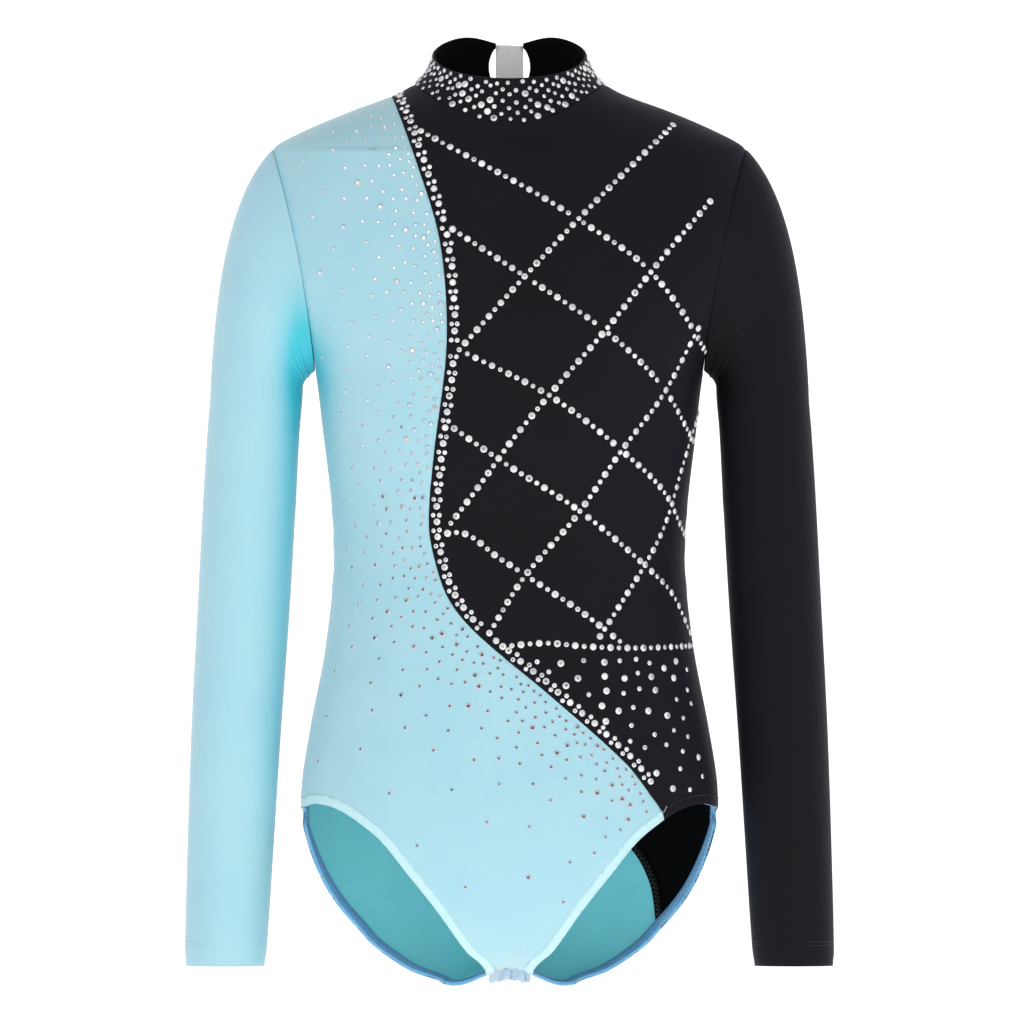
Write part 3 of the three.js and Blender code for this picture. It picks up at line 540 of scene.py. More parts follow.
def clothMaterial(name, look):  # a stretch knit: weave, cloudiness, and a painted sheen that lightens the colour where the cloth turns away from the view
    material = bpy.data.materials.new(name)
    material.use_nodes = True
    tree = material.node_tree
    shader = tree.nodes["Principled BSDF"]
    knit = nodeIn(tree, "ShaderNodeGroup", node_tree=knitGroup)
    knit.inputs["Pitch"].default_value = look.get("pitch", 0.00055)
    knit.inputs["Cloud Size"].default_value = look.get("cloudSize", 0.03)
    knit.inputs["Seed"].default_value = look.get("seed", 1.0)
    base = nodeIn(tree, "ShaderNodeMix", data_type="RGBA")
    base.inputs["A"].default_value = look["colour"]
    base.inputs["B"].default_value = look["second"]
    tree.links.new(knit.outputs["Cloud"], base.inputs["Factor"])
    speck = nodeIn(tree, "ShaderNodeMix", data_type="RGBA", blend_type="MULTIPLY")
    speck.inputs["Factor"].default_value = look.get("grain", 0.25)
    ramp = nodeIn(tree, "ShaderNodeMapRange")
    ramp.inputs["From Min"].default_value = 0.3
    ramp.inputs["From Max"].default_value = 0.7
    ramp.inputs["To Min"].default_value = 0.75
    ramp.inputs["To Max"].default_value = 1.12
    tree.links.new(knit.outputs["Height"], ramp.inputs["Value"])
    tree.links.new(base.outputs["Result"], speck.inputs["A"])
    tree.links.new(ramp.outputs["Result"], speck.inputs["B"])
    # painted sheen: the colour is mixed towards the lighter edge colour as the cloth turns away from the view
    edge = nodeIn(tree, "ShaderNodeMix", data_type="RGBA")
    edge.inputs["B"].default_value = look["edge"]
    turn = nodeIn(tree, "ShaderNodeLayerWeight")
    turn.inputs["Blend"].default_value = look.get("edgeBlend", 0.25)
    paintedSheenAmount = mathNode(tree, "MULTIPLY", turn.outputs["Facing"], look.get("paintedSheenStrength", 0.6))
    tree.links.new(paintedSheenAmount, edge.inputs["Factor"])
    tree.links.new(speck.outputs["Result"], edge.inputs["A"])
    paintedShade = nodeIn(tree, "ShaderNodeMix", data_type="RGBA")  # painted shade: a deeper, more saturated colour where cloth faces cloth, standing in for the shade and coloured bounce light there
    paintedShade.inputs["B"].default_value = look.get("paintedShade", look["colour"])
    tree.links.new(nodeIn(tree, "ShaderNodeAttribute", attribute_name="paintedShade").outputs["Fac"], paintedShade.inputs["Factor"])
    tree.links.new(edge.outputs["Result"], paintedShade.inputs["A"])
    tree.links.new(paintedShade.outputs["Result"], shader.inputs["Base Color"])
    rough = nodeIn(tree, "ShaderNodeMapRange")
    rough.inputs["To Min"].default_value = look["roughness"] - 0.06
    rough.inputs["To Max"].default_value = look["roughness"] + 0.06
    tree.links.new(knit.outputs["Cloud"], rough.inputs["Value"])
    tree.links.new(rough.outputs["Result"], shader.inputs["Roughness"])
    bump = nodeIn(tree, "ShaderNodeBump")
    bump.inputs["Strength"].default_value = look.get("bump", 0.25)
    bump.inputs["Distance"].default_value = 0.0002
    tree.links.new(knit.outputs["Height"], bump.inputs["Height"])
    tree.links.new(bump.outputs["Normal"], shader.inputs["Normal"])
    shader.inputs["Sheen Weight"].default_value = look.get("sheen", 0.3)
    shader.inputs["Sheen Roughness"].default_value = 0.4
    shader.inputs["Sheen Tint"].default_value = look.get("sheenTint", (1, 1, 1, 1))
    shader.inputs["Specular IOR Level"].default_value = look.get("specular", 0.4)
    return material


# in each look, the edge colour is the painted sheen where the cloth turns away from the view
# where a look gives a deeper cyan, it is the painted shade where cloth faces cloth
aquaCloth = clothMaterial("aquaKnit", {
    "colour": srgb(152, 203, 219), "second": srgb(171, 212, 222), "edge": srgb(204, 232, 238),
    "roughness": 0.5, "sheen": 0.15, "paintedSheenStrength": 0.6, "seed": 2.0, "grain": 0.3, "paintedShade": srgb(70, 190, 208),
})
aquaSleeveCloth = clothMaterial("aquaSleeveKnit", {
    "colour": srgb(157, 205, 224), "second": srgb(168, 216, 222), "edge": srgb(192, 218, 238),
    "roughness": 0.48, "sheen": 0.15, "paintedSheenStrength": 0.5, "seed": 5.0, "grain": 0.25, "paintedShade": srgb(62, 192, 210),
})
# the reverse side's own more saturated colour, raised lighter as painted bounce light for the inside seen through the
# leg openings
aquaInside = clothMaterial("aquaKnitInside", {
    "colour": srgb(122, 234, 246), "second": srgb(148, 242, 250), "edge": srgb(158, 240, 250),
    "roughness": 0.75, "sheen": 0.1, "paintedSheenStrength": 0.3, "seed": 3.0, "pitch": 0.0007, "bump": 0.35,
})
aquaHem = clothMaterial("aquaHem", {
    "colour": srgb(182, 224, 232), "second": srgb(194, 230, 236), "edge": srgb(214, 238, 242),
    "roughness": 0.5, "sheen": 0.15, "paintedSheenStrength": 0.5, "seed": 4.0,
})
blackCloth = clothMaterial("blackKnit", {
    "colour": srgb(14, 13, 18), "second": srgb(20, 19, 25), "edge": srgb(56, 54, 72),
    "roughness": 0.6, "sheen": 0.01, "paintedSheenStrength": 0.65, "seed": 6.0, "grain": 0.6, "specular": 0.1,
})
blackInside = clothMaterial("blackKnitInside", {
    "colour": srgb(5, 5, 7), "second": srgb(8, 8, 10), "edge": srgb(14, 14, 18),
    "roughness": 0.9, "sheen": 0.0, "paintedSheenStrength": 0.3, "seed": 7.0, "specular": 0.08,
})
liningCloth = clothMaterial("liningKnit", {
    "colour": srgb(190, 218, 224), "second": srgb(206, 226, 230), "edge": srgb(224, 238, 240),
    "roughness": 0.8, "sheen": 0.1, "paintedSheenStrength": 0.4, "seed": 8.0, "pitch": 0.0009,
})
gatherCloth = clothMaterial("gatherRibbon", {
    "colour": srgb(196, 214, 236), "second": srgb(222, 230, 240), "edge": srgb(236, 240, 246),
    "roughness": 0.6, "sheen": 0.2, "paintedSheenStrength": 0.4, "seed": 10.0, "cloudSize": 0.006, "paintedShade": srgb(60, 170, 206),
})
tapeCloth = clothMaterial("closureTape", {
    "colour": srgb(246, 246, 246), "second": srgb(254, 254, 254), "edge": srgb(254, 254, 254),
    "roughness": 0.8, "sheen": 0.4, "paintedSheenStrength": 0.3, "seed": 9.0, "pitch": 0.0012, "bump": 0.6, "grain": 0.5,
})


def threadMaterial(name, colour, second, roughness=0.6):  # twisted thread: slanting bands along each stitch
    material = bpy.data.materials.new(name)
    material.use_nodes = True
    tree = material.node_tree
    shader = tree.nodes["Principled BSDF"]
    place = nodeIn(tree, "ShaderNodeTexCoord")
    wave = nodeIn(tree, "ShaderNodeTexWave", wave_type="BANDS", bands_direction="DIAGONAL")
    wave.inputs["Scale"].default_value = 1200
    wave.inputs["Distortion"].default_value = 2.0
    tree.links.new(place.outputs["Object"], wave.inputs["Vector"])
    mix = nodeIn(tree, "ShaderNodeMix", data_type="RGBA")
    mix.inputs["A"].default_value = colour
    mix.inputs["B"].default_value = second
    tree.links.new(wave.outputs["Fac"], mix.inputs["Factor"])
    tree.links.new(mix.outputs["Result"], shader.inputs["Base Color"])
    bump = nodeIn(tree, "ShaderNodeBump")
    bump.inputs["Strength"].default_value = 0.4
    bump.inputs["Distance"].default_value = 0.0001
    tree.links.new(wave.outputs["Fac"], bump.inputs["Height"])
    tree.links.new(bump.outputs["Normal"], shader.inputs["Normal"])
    shader.inputs["Roughness"].default_value = roughness
    shader.inputs["Sheen Weight"].default_value = 0.3
    return material


blueThread = threadMaterial("blueThread", srgb(92, 168, 224), srgb(130, 196, 236))
darkBlueThread = threadMaterial("darkBlueThread", srgb(52, 122, 196), srgb(84, 152, 214))
aquaThread = threadMaterial("aquaThread", srgb(108, 190, 220), srgb(140, 208, 228))
blackThread = threadMaterial("blackThread", srgb(20, 20, 24), srgb(40, 40, 48))
paleThread = threadMaterial("paleThread", srgb(196, 214, 240), srgb(226, 234, 248))


def stoneMaterial(name, look):  # cut glass on foil: a bright crown round a flat table, each stone its own tone; the table's colour, dark to light, is a painted reflection and the crown's facets carry a painted sparkle
    material = bpy.data.materials.new(name)
    material.use_nodes = True
    tree = material.node_tree
    shader = tree.nodes["Principled BSDF"]
    crown = nodeIn(tree, "ShaderNodeMix", data_type="RGBA")
    crown.inputs["A"].default_value = look["dull"]
    crown.inputs["B"].default_value = look["bright"]
    tree.links.new(nodeIn(tree, "ShaderNodeAttribute", attribute_name="tone").outputs["Fac"], crown.inputs["Factor"])
    # painted reflection: the table runs from a dark to a light colour by the stone's clear value
    middle = nodeIn(tree, "ShaderNodeMix", data_type="RGBA")
    middle.inputs["A"].default_value = look["tableReflectionDark"]
    middle.inputs["B"].default_value = look["tableReflectionLight"]
    tree.links.new(nodeIn(tree, "ShaderNodeAttribute", attribute_name="clear").outputs["Fac"], middle.inputs["Factor"])
    place = nodeIn(tree, "ShaderNodeTexCoord")
    facets = nodeIn(tree, "ShaderNodeTexVoronoi")
    facets.inputs["Scale"].default_value = 1100
    tree.links.new(place.outputs["Object"], facets.inputs["Vector"])
    # painted sparkle: random facet cells darken and tint the crown's colour
    paintedSparkle = nodeIn(tree, "ShaderNodeMix", data_type="RGBA", blend_type="MULTIPLY")
    paintedSparkle.inputs["Factor"].default_value = look["paintedSparkle"]
    tree.links.new(crown.outputs["Result"], paintedSparkle.inputs["A"])
    tree.links.new(facets.outputs["Color"], paintedSparkle.inputs["B"])
    both = nodeIn(tree, "ShaderNodeMix", data_type="RGBA")
    tree.links.new(nodeIn(tree, "ShaderNodeAttribute", attribute_name="table").outputs["Fac"], both.inputs["Factor"])
    tree.links.new(paintedSparkle.outputs["Result"], both.inputs["A"])
    tree.links.new(middle.outputs["Result"], both.inputs["B"])
    tree.links.new(both.outputs["Result"], shader.inputs["Base Color"])
    shader.inputs["Metallic"].default_value = look["metallic"]
    shader.inputs["Roughness"].default_value = 0.14
    shader.inputs["Coat Weight"].default_value = 0.5
    return material


clearStone = stoneMaterial("clearStone", {
    "dull": srgb(206, 206, 212), "bright": srgb(255, 255, 255), "tableReflectionDark": srgb(120, 118, 128),
    "tableReflectionLight": srgb(226, 226, 232), "paintedSparkle": 0.12, "metallic": 0.2,
})
opalStone = stoneMaterial("opalStone", {
    "dull": srgb(162, 204, 218), "bright": srgb(208, 198, 208), "tableReflectionDark": srgb(84, 82, 90),
    "tableReflectionLight": srgb(222, 238, 244), "paintedSparkle": 0.15, "metallic": 0.2,
})

wireSteel = bpy.data.materials.new("hookWire")
wireSteel.use_nodes = True
wireTree = wireSteel.node_tree
wireNoise = nodeIn(wireTree, "ShaderNodeTexNoise")
wireNoise.inputs["Scale"].default_value = 700
wirePlace = nodeIn(wireTree, "ShaderNodeTexCoord")
wireTree.links.new(wirePlace.outputs["Object"], wireNoise.inputs["Vector"])
wireRange = nodeIn(wireTree, "ShaderNodeMapRange")
wireRange.inputs["To Min"].default_value = 0.22
wireRange.inputs["To Max"].default_value = 0.42
wireTree.links.new(wireNoise.outputs["Fac"], wireRange.inputs["Value"])
wireShader = wireTree.nodes["Principled BSDF"]
wireTree.links.new(wireRange.outputs["Result"], wireShader.inputs["Roughness"])
wireShader.inputs["Metallic"].default_value = 1.0
wireShader.inputs["Base Color"].default_value = srgb(196, 198, 202)

print("cloth: body nets")
frontNet, backNet = halfForm(-1), halfForm(1)
legLines = traceLine(frontNet, legFrontField), traceLine(backNet, legBackField)
frontNet = clip(clip(clip(frontNet, armholeField), neckField), legFrontField)
backNet = clip(clip(clip(backNet, armholeField), neckField), legBackField)
backNet = clip(backNet, keyholeField)
legFrontEdge = distanceTo(legLines[0], -400 * mm)
legBackEdge = distanceTo(legLines[1], -380 * mm)


def otherSide(field):
    return lambda p: -field(p)


frontSeams = [waveField(waveFront), armholeField, neckField, lambda p: p[:, 1]]
backSeams = [waveField(waveBack), armholeField, neckField, lambda p: p[:, 1]]


def paintedShadeBesideArm(points):  # painted shade mask: 1 at the armpit, where cloth faces cloth, fading down the side, and raised along the armhole seam
    x, z = np.abs(points[:, 0]), points[:, 2]
    away = np.hypot((x - bodyForm["armpitX"]) / (12 * mm), (z - armpitZ) / (26 * mm))
    width = section(z)[0]
    side = np.clip(1 - (width - x) / (13 * mm), 0, 1) ** 1.6 * np.clip(1 - np.abs(z + 205 * mm) / (85 * mm), 0, 1)
    seam = 0.45 * np.exp(-((armholeField(points) / (2 * mm)) ** 2))
    return np.clip(np.exp(-(away ** 2)) * 0.85 + 0.6 * side + seam, 0, 1)


def makePanel(name, net, field, seamFields, outside, inside):
    points, faces = clip(net, field)
    piece = meshOf(name, (relief(points, seamFields), faces), [outside, inside])
    storeAttribute(piece.data, "paintedShade", "FLOAT", paintedShadeBesideArm(points))
    thicken(piece, cloth["thickness"], inner=1)
    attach(piece, "trunk")
    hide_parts(name.replace("Panel", "_panel_").replace("Aqua", "aqua").replace("Black", "black"))
    return piece


frontAqua = makePanel("frontPanelAqua", frontNet, waveField(waveFront), frontSeams, aquaCloth, aquaInside)
frontBlack = makePanel("frontPanelBlack", frontNet, otherSide(waveField(waveFront)), frontSeams, blackCloth, blackInside)
backAqua = makePanel("backPanelAqua", backNet, waveField(waveBack), backSeams, aquaCloth, aquaInside)
backBlack = makePanel("backPanelBlack", backNet, otherSide(waveField(waveBack)), backSeams, blackCloth,
                      blackInside)
frontCloth = bvhtree.BVHTree.FromPolygons(*(
    lambda net: ([tuple(q[:3]) for q in net[0]], net[1]))(joined(
        *(tuple((relief(part[0], frontSeams), part[1]) for part in (
            clip(frontNet, waveField(waveFront)), clip(frontNet, otherSide(waveField(waveFront)))))))))
print("cloth: panels", [round(areaOf(p) / 2, 4) for p in (frontAqua, frontBlack, backAqua, backBlack)])

sleeveCut = {
    "around": 72,
    "capEnd": (179.8 * mm, -168 * mm),
    "innerEnd": 124.2 * mm,
    "roundness": 0.94,
    "cuffZ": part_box("sleeve_left")[0].z,
    "blendReach": 78 * mm,
}
sleeveOuter = curveThrough(
    (-514, 194), (-505, 194.7), (-445, 193.5), (-373, 191), (-301, 187.3), (-229, 183.6), (-193, 181.4), (-168, 179.8),
)
sleeveInner = curveThrough(
    (-514, 147), (-505, 145.8), (-445, 141.9), (-373, 137.1), (-301, 132), (-229, 127.8), (-193, 126), (-168, 124.2),
)


def capPoint(share):  # the cap's outer line, from the shoulder tip to below the armpit
    a = np.array([bodyForm["tipX"], tipZ])
    d = np.array(sleeveCut["capEnd"])
    b = a + np.array([21, -20]) * mm
    c = d + np.array([-3.8, 78]) * mm
    return a * (1 - share) ** 3 + 3 * b * share * (1 - share) ** 2 + 3 * c * share ** 2 * (1 - share) + d * share ** 3


def sleeveNet():
    angles = np.linspace(0, 2 * np.pi, sleeveCut["around"] + 1)
    slide = (1 - np.cos(angles)) / 2
    rows = []
    for share in np.linspace(0, 1, 46) ** 1.15:
        outer = capPoint(share)
        inner = np.array([bodyForm["armpitX"], armpitZ])
        along = np.array([1 - (1 - share) ** 2.2, share])
        inner = inner + (np.array([sleeveCut["innerEnd"], sleeveCut["capEnd"][1]]) - inner) * along
        x = outer[0] + (inner[0] - outer[0]) * slide
        z = outer[1] + (inner[1] - outer[1]) * slide
        x = x - bodyForm["armholeScoop"] * np.sin(np.pi * slide) * (1 - share)
        chest = np.where(np.sin(angles) > 0, backDepth(z), frontDepth(z))
        round_ = 27.8 * mm * sleeveCut["roundness"] * (1 - (1 - share) ** 2)
        y = (chest * bodyForm["armholeDepth"] * (1 - share) ** 2 + round_) * np.sin(angles)
        rows.append(np.stack([x, y, z], axis=1))
    for z in np.linspace(sleeveCut["capEnd"][1], sleeveCut["cuffZ"], 136)[1:]:
        middle = (sleeveOuter(z) + sleeveInner(z)) / 2
        half = (sleeveOuter(z) - sleeveInner(z)) / 2
        y = half * sleeveCut["roundness"] * np.sin(angles)
        rows.append(np.stack([middle + half * np.cos(angles), y, np.full(len(angles), z)], axis=1))
    net = np.array(rows)
    middles = net[:, :-1].mean(axis=1, keepdims=True)
    outward = net - middles
    outward /= np.maximum(np.linalg.norm(outward, axis=2, keepdims=True), 1e-9)
    around = angles[None, :]
    down = np.cumsum(np.r_[0, np.linalg.norm(np.diff(net[:, 0], axis=0), axis=1)])[:, None]
    lift = np.zeros(net.shape[:2])
    folds = ((34, 3.6, 0.9, 0.7), (50, 4.2, 0.8, 0.5), (66, 3.9, 0.5, 0.3), (222, 4.0, 0.4, 0.4), (246, 4.4, 0.45, -0.3))
    for at, turn, depth, tilt in folds:  # creases at the armpit and inside the elbow
        away = down - at * mm - tilt * 12 * mm * np.sin(around - turn)
        lift += depth * mm * np.exp(-((away / (4.5 * mm)) ** 2)) * np.clip(np.cos(around - turn), 0, 1) ** 2
    for i in range(net.shape[0]):
        for j in range(net.shape[1]):
            p = net[i, j % (net.shape[1] - 1)]
            lift[i, j] += 0.55 * mm * noise.noise(Vector((p[0] * 24, p[1] * 24, p[2] * 9 + 4)))
    lift *= np.clip(down / (14 * mm), 0, 1)
    lift -= seams["groove"] * np.exp(-((down / seams["grooveWidth"]) ** 2))
    net = net + outward * lift[..., None]
    u = around * 26 * mm * np.ones_like(lift)
    v = down * np.ones_like(lift)
    return np.concatenate([net, u[..., None], v[..., None]], axis=-1)


def sleeveFaces(net, firstRow=0, lastRow=None, mirrored=False):  # joined round
    rows, count = net.shape[0], net.shape[1] - 1
    lastRow = rows - 1 if lastRow is None else lastRow
    faces = []
    for i in range(firstRow, lastRow):
        for j in range(count):
            k = (j + 1) % count
            quad = (i * count + j, (i + 1) * count + j, (i + 1) * count + k, i * count + k)
            faces.append(quad[::-1] if mirrored else quad)
    return faces


def blendSleeve(piece):
    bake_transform(piece)


sleeveShape = sleeveNet()


def makeSleeve(side, name, node, outside, inside):
    net = sleeveShape.copy()
    net[..., 0] *= side
    flat = net[:, :-1].reshape(-1, 5)
    faces = sleeveFaces(net, mirrored=side > 0)
    piece = meshOf(name, (flat, faces), [outside, inside])
    # painted shade: the sleeve's inner side, turned to the body, and the armpit get the deeper colour
    middle = (sleeveOuter(flat[:, 2]) + sleeveInner(flat[:, 2])) / 2
    inward = np.clip((middle - 2 * mm - np.abs(flat[:, 0])) / (22 * mm), 0, 1) ** 2.2
    inward *= np.clip((-96 * mm - flat[:, 2]) / (50 * mm), 0, 1) * np.clip(1.25 + flat[:, 2] / 0.5, 0.3, 1)
    armpit = np.hypot((np.abs(flat[:, 0]) - 120 * mm) / (14 * mm), (flat[:, 2] - armpitZ) / (34 * mm))
    storeAttribute(piece.data, "paintedShade", "FLOAT", np.clip(0.8 * inward + 0.9 * np.exp(-(armpit ** 2)), 0, 1))
    bm = bmesh.new()
    bm.from_mesh(piece.data)
    bmesh.ops.recalc_face_normals(bm, faces=bm.faces)
    bm.to_mesh(piece.data)
    bm.free()
    outwardTest = piece.data.polygons[len(piece.data.polygons) // 2 + 3]
    if (outwardTest.center - Vector((side * 0.158, 0, outwardTest.center.z))).dot(outwardTest.normal) < 0:
        piece.data.flip_normals()
    thicken(piece, cloth["thickness"], inner=1)
    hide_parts(node)
    blendSleeve(piece)
    return piece


sleeveRight = makeSleeve(-1, "sleeveRight", "sleeve_right", aquaSleeveCloth, aquaInside)
sleeveLeft = makeSleeve(1, "sleeveLeft", "sleeve_left", blackCloth, blackInside)
print("cloth: sleeves", round(areaOf(sleeveLeft) / 2, 4))

collarCut = {
    "topHalf": 46.5 * mm,
    "topDepthHalf": 42 * mm,
    "topFront": 16.8 * mm,
    "topBack": 46.4 * mm,
    "dip": 8 * mm,
    "thickness": 1.9 * mm,
    "closureHalf": 8.5 * mm,
    "notch": 3.9 * mm,
    "across": 220,
    "up": 26,
}


def collarTop(angle):
    middle = (collarCut["topFront"] + collarCut["topBack"]) / 2
    swing = (collarCut["topBack"] - collarCut["topFront"]) / 2
    dip = collarCut["dip"] * math.exp(-(((math.pi - abs(angle)) / 0.42) ** 2))
    return middle - swing * math.cos(angle) - dip


def collarFoot(angle):
    x = bodyForm["neckHalf"] * math.sin(angle)
    y = bodyForm["neckBehind"] - bodyForm["neckDepthHalf"] * math.cos(angle)
    return formHeight(x, y, tipZ - 24 * mm, 28 * mm) - 0.6 * mm


def collarPoint(angle, up, inset=0.0, foot=None):
    flare = (1 - up) ** 1.5
    width = collarCut["topHalf"] + (bodyForm["neckHalf"] - 0.2 * mm - collarCut["topHalf"]) * flare - inset
    depth = collarCut["topDepthHalf"] + (bodyForm["neckDepthHalf"] - 0.2 * mm - collarCut["topDepthHalf"]) * flare - inset
    foot = collarFoot(angle) if foot is None else foot
    z = foot + (collarTop(angle) - foot) * up
    return np.array([width * math.sin(angle), bodyForm["neckBehind"] - depth * math.cos(angle), z])


def collarEndAngle(up):  # the ends curve back from the closure between their upper and lower corners
    scallop = max(0.0, math.sin(math.pi * (up - 0.12) / 0.8)) if 0.12 < up < 0.92 else 0.0
    gap = collarCut["closureHalf"] + collarCut["notch"] * scallop ** 0.7
    return math.pi - math.asin(gap / (collarCut["topHalf"] + 4 * mm * (1 - up)))


def makeCollar():
    across, up = collarCut["across"], collarCut["up"]
    half = collarCut["thickness"] / 2
    profile = []  # (how high, how far in), round the band's closed section
    profile += [(t, 0.0) for t in np.linspace(0, 1, up)]
    profile += [(1 + 0.035 * math.sin(a), half * (1 - math.cos(a))) for a in np.linspace(0, math.pi, 7)[1:-1]]
    profile += [(t, 2 * half) for t in np.linspace(1, 0, up)]
    rows = []
    for s in np.linspace(-1, 1, across):
        feet = collarFoot(s * math.pi * 0.97)
        row = []
        for height, inset in profile:
            angle = s * collarEndAngle(min(height, 1))
            puff = 0.25 * mm * noise.noise(Vector((angle * 3, height * 2, inset * 900)))
            p = collarPoint(angle, height, inset + puff, feet)
            row.append(np.r_[p, angle * 50 * mm, height * 30 * mm])
        rows.append(row)
    net = np.array(rows)
    count = len(profile)
    faces = []
    for i in range(across - 1):
        for j in range(count):
            k = (j + 1) % count
            faces.append((i * count + j, i * count + k, (i + 1) * count + k, (i + 1) * count + j))
    for j in range(count // 2 - 1):  # each end is closed by a ladder of faces
        faces.append((j, j + 1, count - 2 - j, count - 1 - j))
        last = (across - 1) * count
        faces.append((last + count - 1 - j, last + count - 2 - j, last + j + 1, last + j))
    piece = meshOf("collar", (net.reshape(-1, 5), faces), [blackCloth, blackInside])
    bm = bmesh.new()
    bm.from_mesh(piece.data)
    bmesh.ops.recalc_face_normals(bm, faces=bm.faces)
    bm.to_mesh(piece.data)
    bm.free()
    for polygon in piece.data.polygons:
        c = polygon.center
        inward = Vector((-c.x, bodyForm["neckBehind"] - c.y, 0)).normalized()
        if polygon.normal.dot(inward) > 0.35:
            polygon.material_index = 1
    piece.data.shade_smooth()
    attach(piece, "trunk")
    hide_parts("collar")
    return piece


collar = makeCollar()
print("cloth: collar", round(areaOf(collar) / 2, 4))

def addNode(tree, kind, inputs=None, **settings):
    node = tree.nodes.new(kind)
    for name, value in settings.items():
        setattr(node, name, value)
    for key, value in (inputs or {}).items():
        socket = node.inputs[key]
        if hasattr(value, "is_output") or isinstance(value, bpy.types.NodeSocket):
            tree.links.new(value, socket)
        else:
            socket.default_value = value
    return node


def newTree(name, inputs):
    tree = bpy.data.node_groups.new(name, "GeometryNodeTree")
    tree.interface.new_socket(name="Geometry", in_out="INPUT", socket_type="NodeSocketGeometry")
    for label, kind, value in inputs:
        socket = tree.interface.new_socket(name=label, in_out="INPUT", socket_type=kind)
        if value is not None:
            socket.default_value = value
    tree.interface.new_socket(name="Geometry", in_out="OUTPUT", socket_type="NodeSocketGeometry")
    return tree, tree.nodes.new("NodeGroupInput").outputs, tree.nodes.new("NodeGroupOutput").inputs


def buildStitchTree():  # stitches lie along a line, every other one leaning the other way
    tree, given, result = newTree("stitches", [
        ("Spacing", "NodeSocketFloat", 0.0026), ("Length", "NodeSocketFloat", 0.002),
        ("Thread", "NodeSocketFloat", 0.0004), ("Lean", "NodeSocketFloat", 0.0),
        ("Material", "NodeSocketMaterial", None),
    ])
    curve = addNode(tree, "GeometryNodeMeshToCurve", {"Mesh": given["Geometry"]})
    even = addNode(tree, "GeometryNodeResampleCurve", {"Curve": curve.outputs[0]})
    even.mode = "LENGTH"
    tree.links.new(given["Spacing"], even.inputs["Length"])
    facingAttribute = addNode(tree, "GeometryNodeInputNamedAttribute", {"Name": "facing"}, data_type="FLOAT_VECTOR")
    tangent = addNode(tree, "GeometryNodeInputTangent")
    upright = addNode(tree, "FunctionNodeAlignRotationToVector",
                      {"Vector": facingAttribute.outputs["Attribute"]}, axis="Z")
    along = addNode(tree, "FunctionNodeAlignRotationToVector",
                    {"Rotation": upright.outputs[0], "Vector": tangent.outputs[0]}, axis="X", pivot_axis="Z")
    index = addNode(tree, "GeometryNodeInputIndex")
    parity = addNode(tree, "ShaderNodeMath", {0: index.outputs[0], 1: 2.0}, operation="MODULO")
    sign = addNode(tree, "ShaderNodeMath", {0: parity.outputs[0], 1: 2.0, 2: -1.0}, operation="MULTIPLY_ADD")
    lean = addNode(tree, "ShaderNodeMath", {0: sign.outputs[0], 1: given["Lean"]}, operation="MULTIPLY")
    axis = addNode(tree, "FunctionNodeAxisAngleToRotation", {"Axis": (0, 0, 1), "Angle": lean.outputs[0]})
    turned = addNode(tree, "FunctionNodeRotateRotation",
                     {"Rotation": along.outputs[0], "Rotate By": axis.outputs[0]}, rotation_space="LOCAL")
    ball = addNode(tree, "GeometryNodeMeshIcoSphere", {"Radius": 0.5, "Subdivisions": 1})
    size = addNode(tree, "ShaderNodeCombineXYZ",
                   {"X": given["Length"], "Y": given["Thread"], "Z": given["Thread"]})
    shaped = addNode(tree, "GeometryNodeTransform", {"Geometry": ball.outputs["Mesh"], "Scale": size.outputs[0]})
    spread = addNode(tree, "GeometryNodeInstanceOnPoints",
                     {"Points": even.outputs[0], "Instance": shaped.outputs[0], "Rotation": turned.outputs[0]})
    real = addNode(tree, "GeometryNodeRealizeInstances", {"Geometry": spread.outputs[0]})
    smooth = addNode(tree, "GeometryNodeSetShadeSmooth", {"Geometry": real.outputs[0]})
    painted = addNode(tree, "GeometryNodeSetMaterial", {"Geometry": smooth.outputs[0], "Material": given["Material"]})
    tree.links.new(painted.outputs[0], result["Geometry"])
    return tree


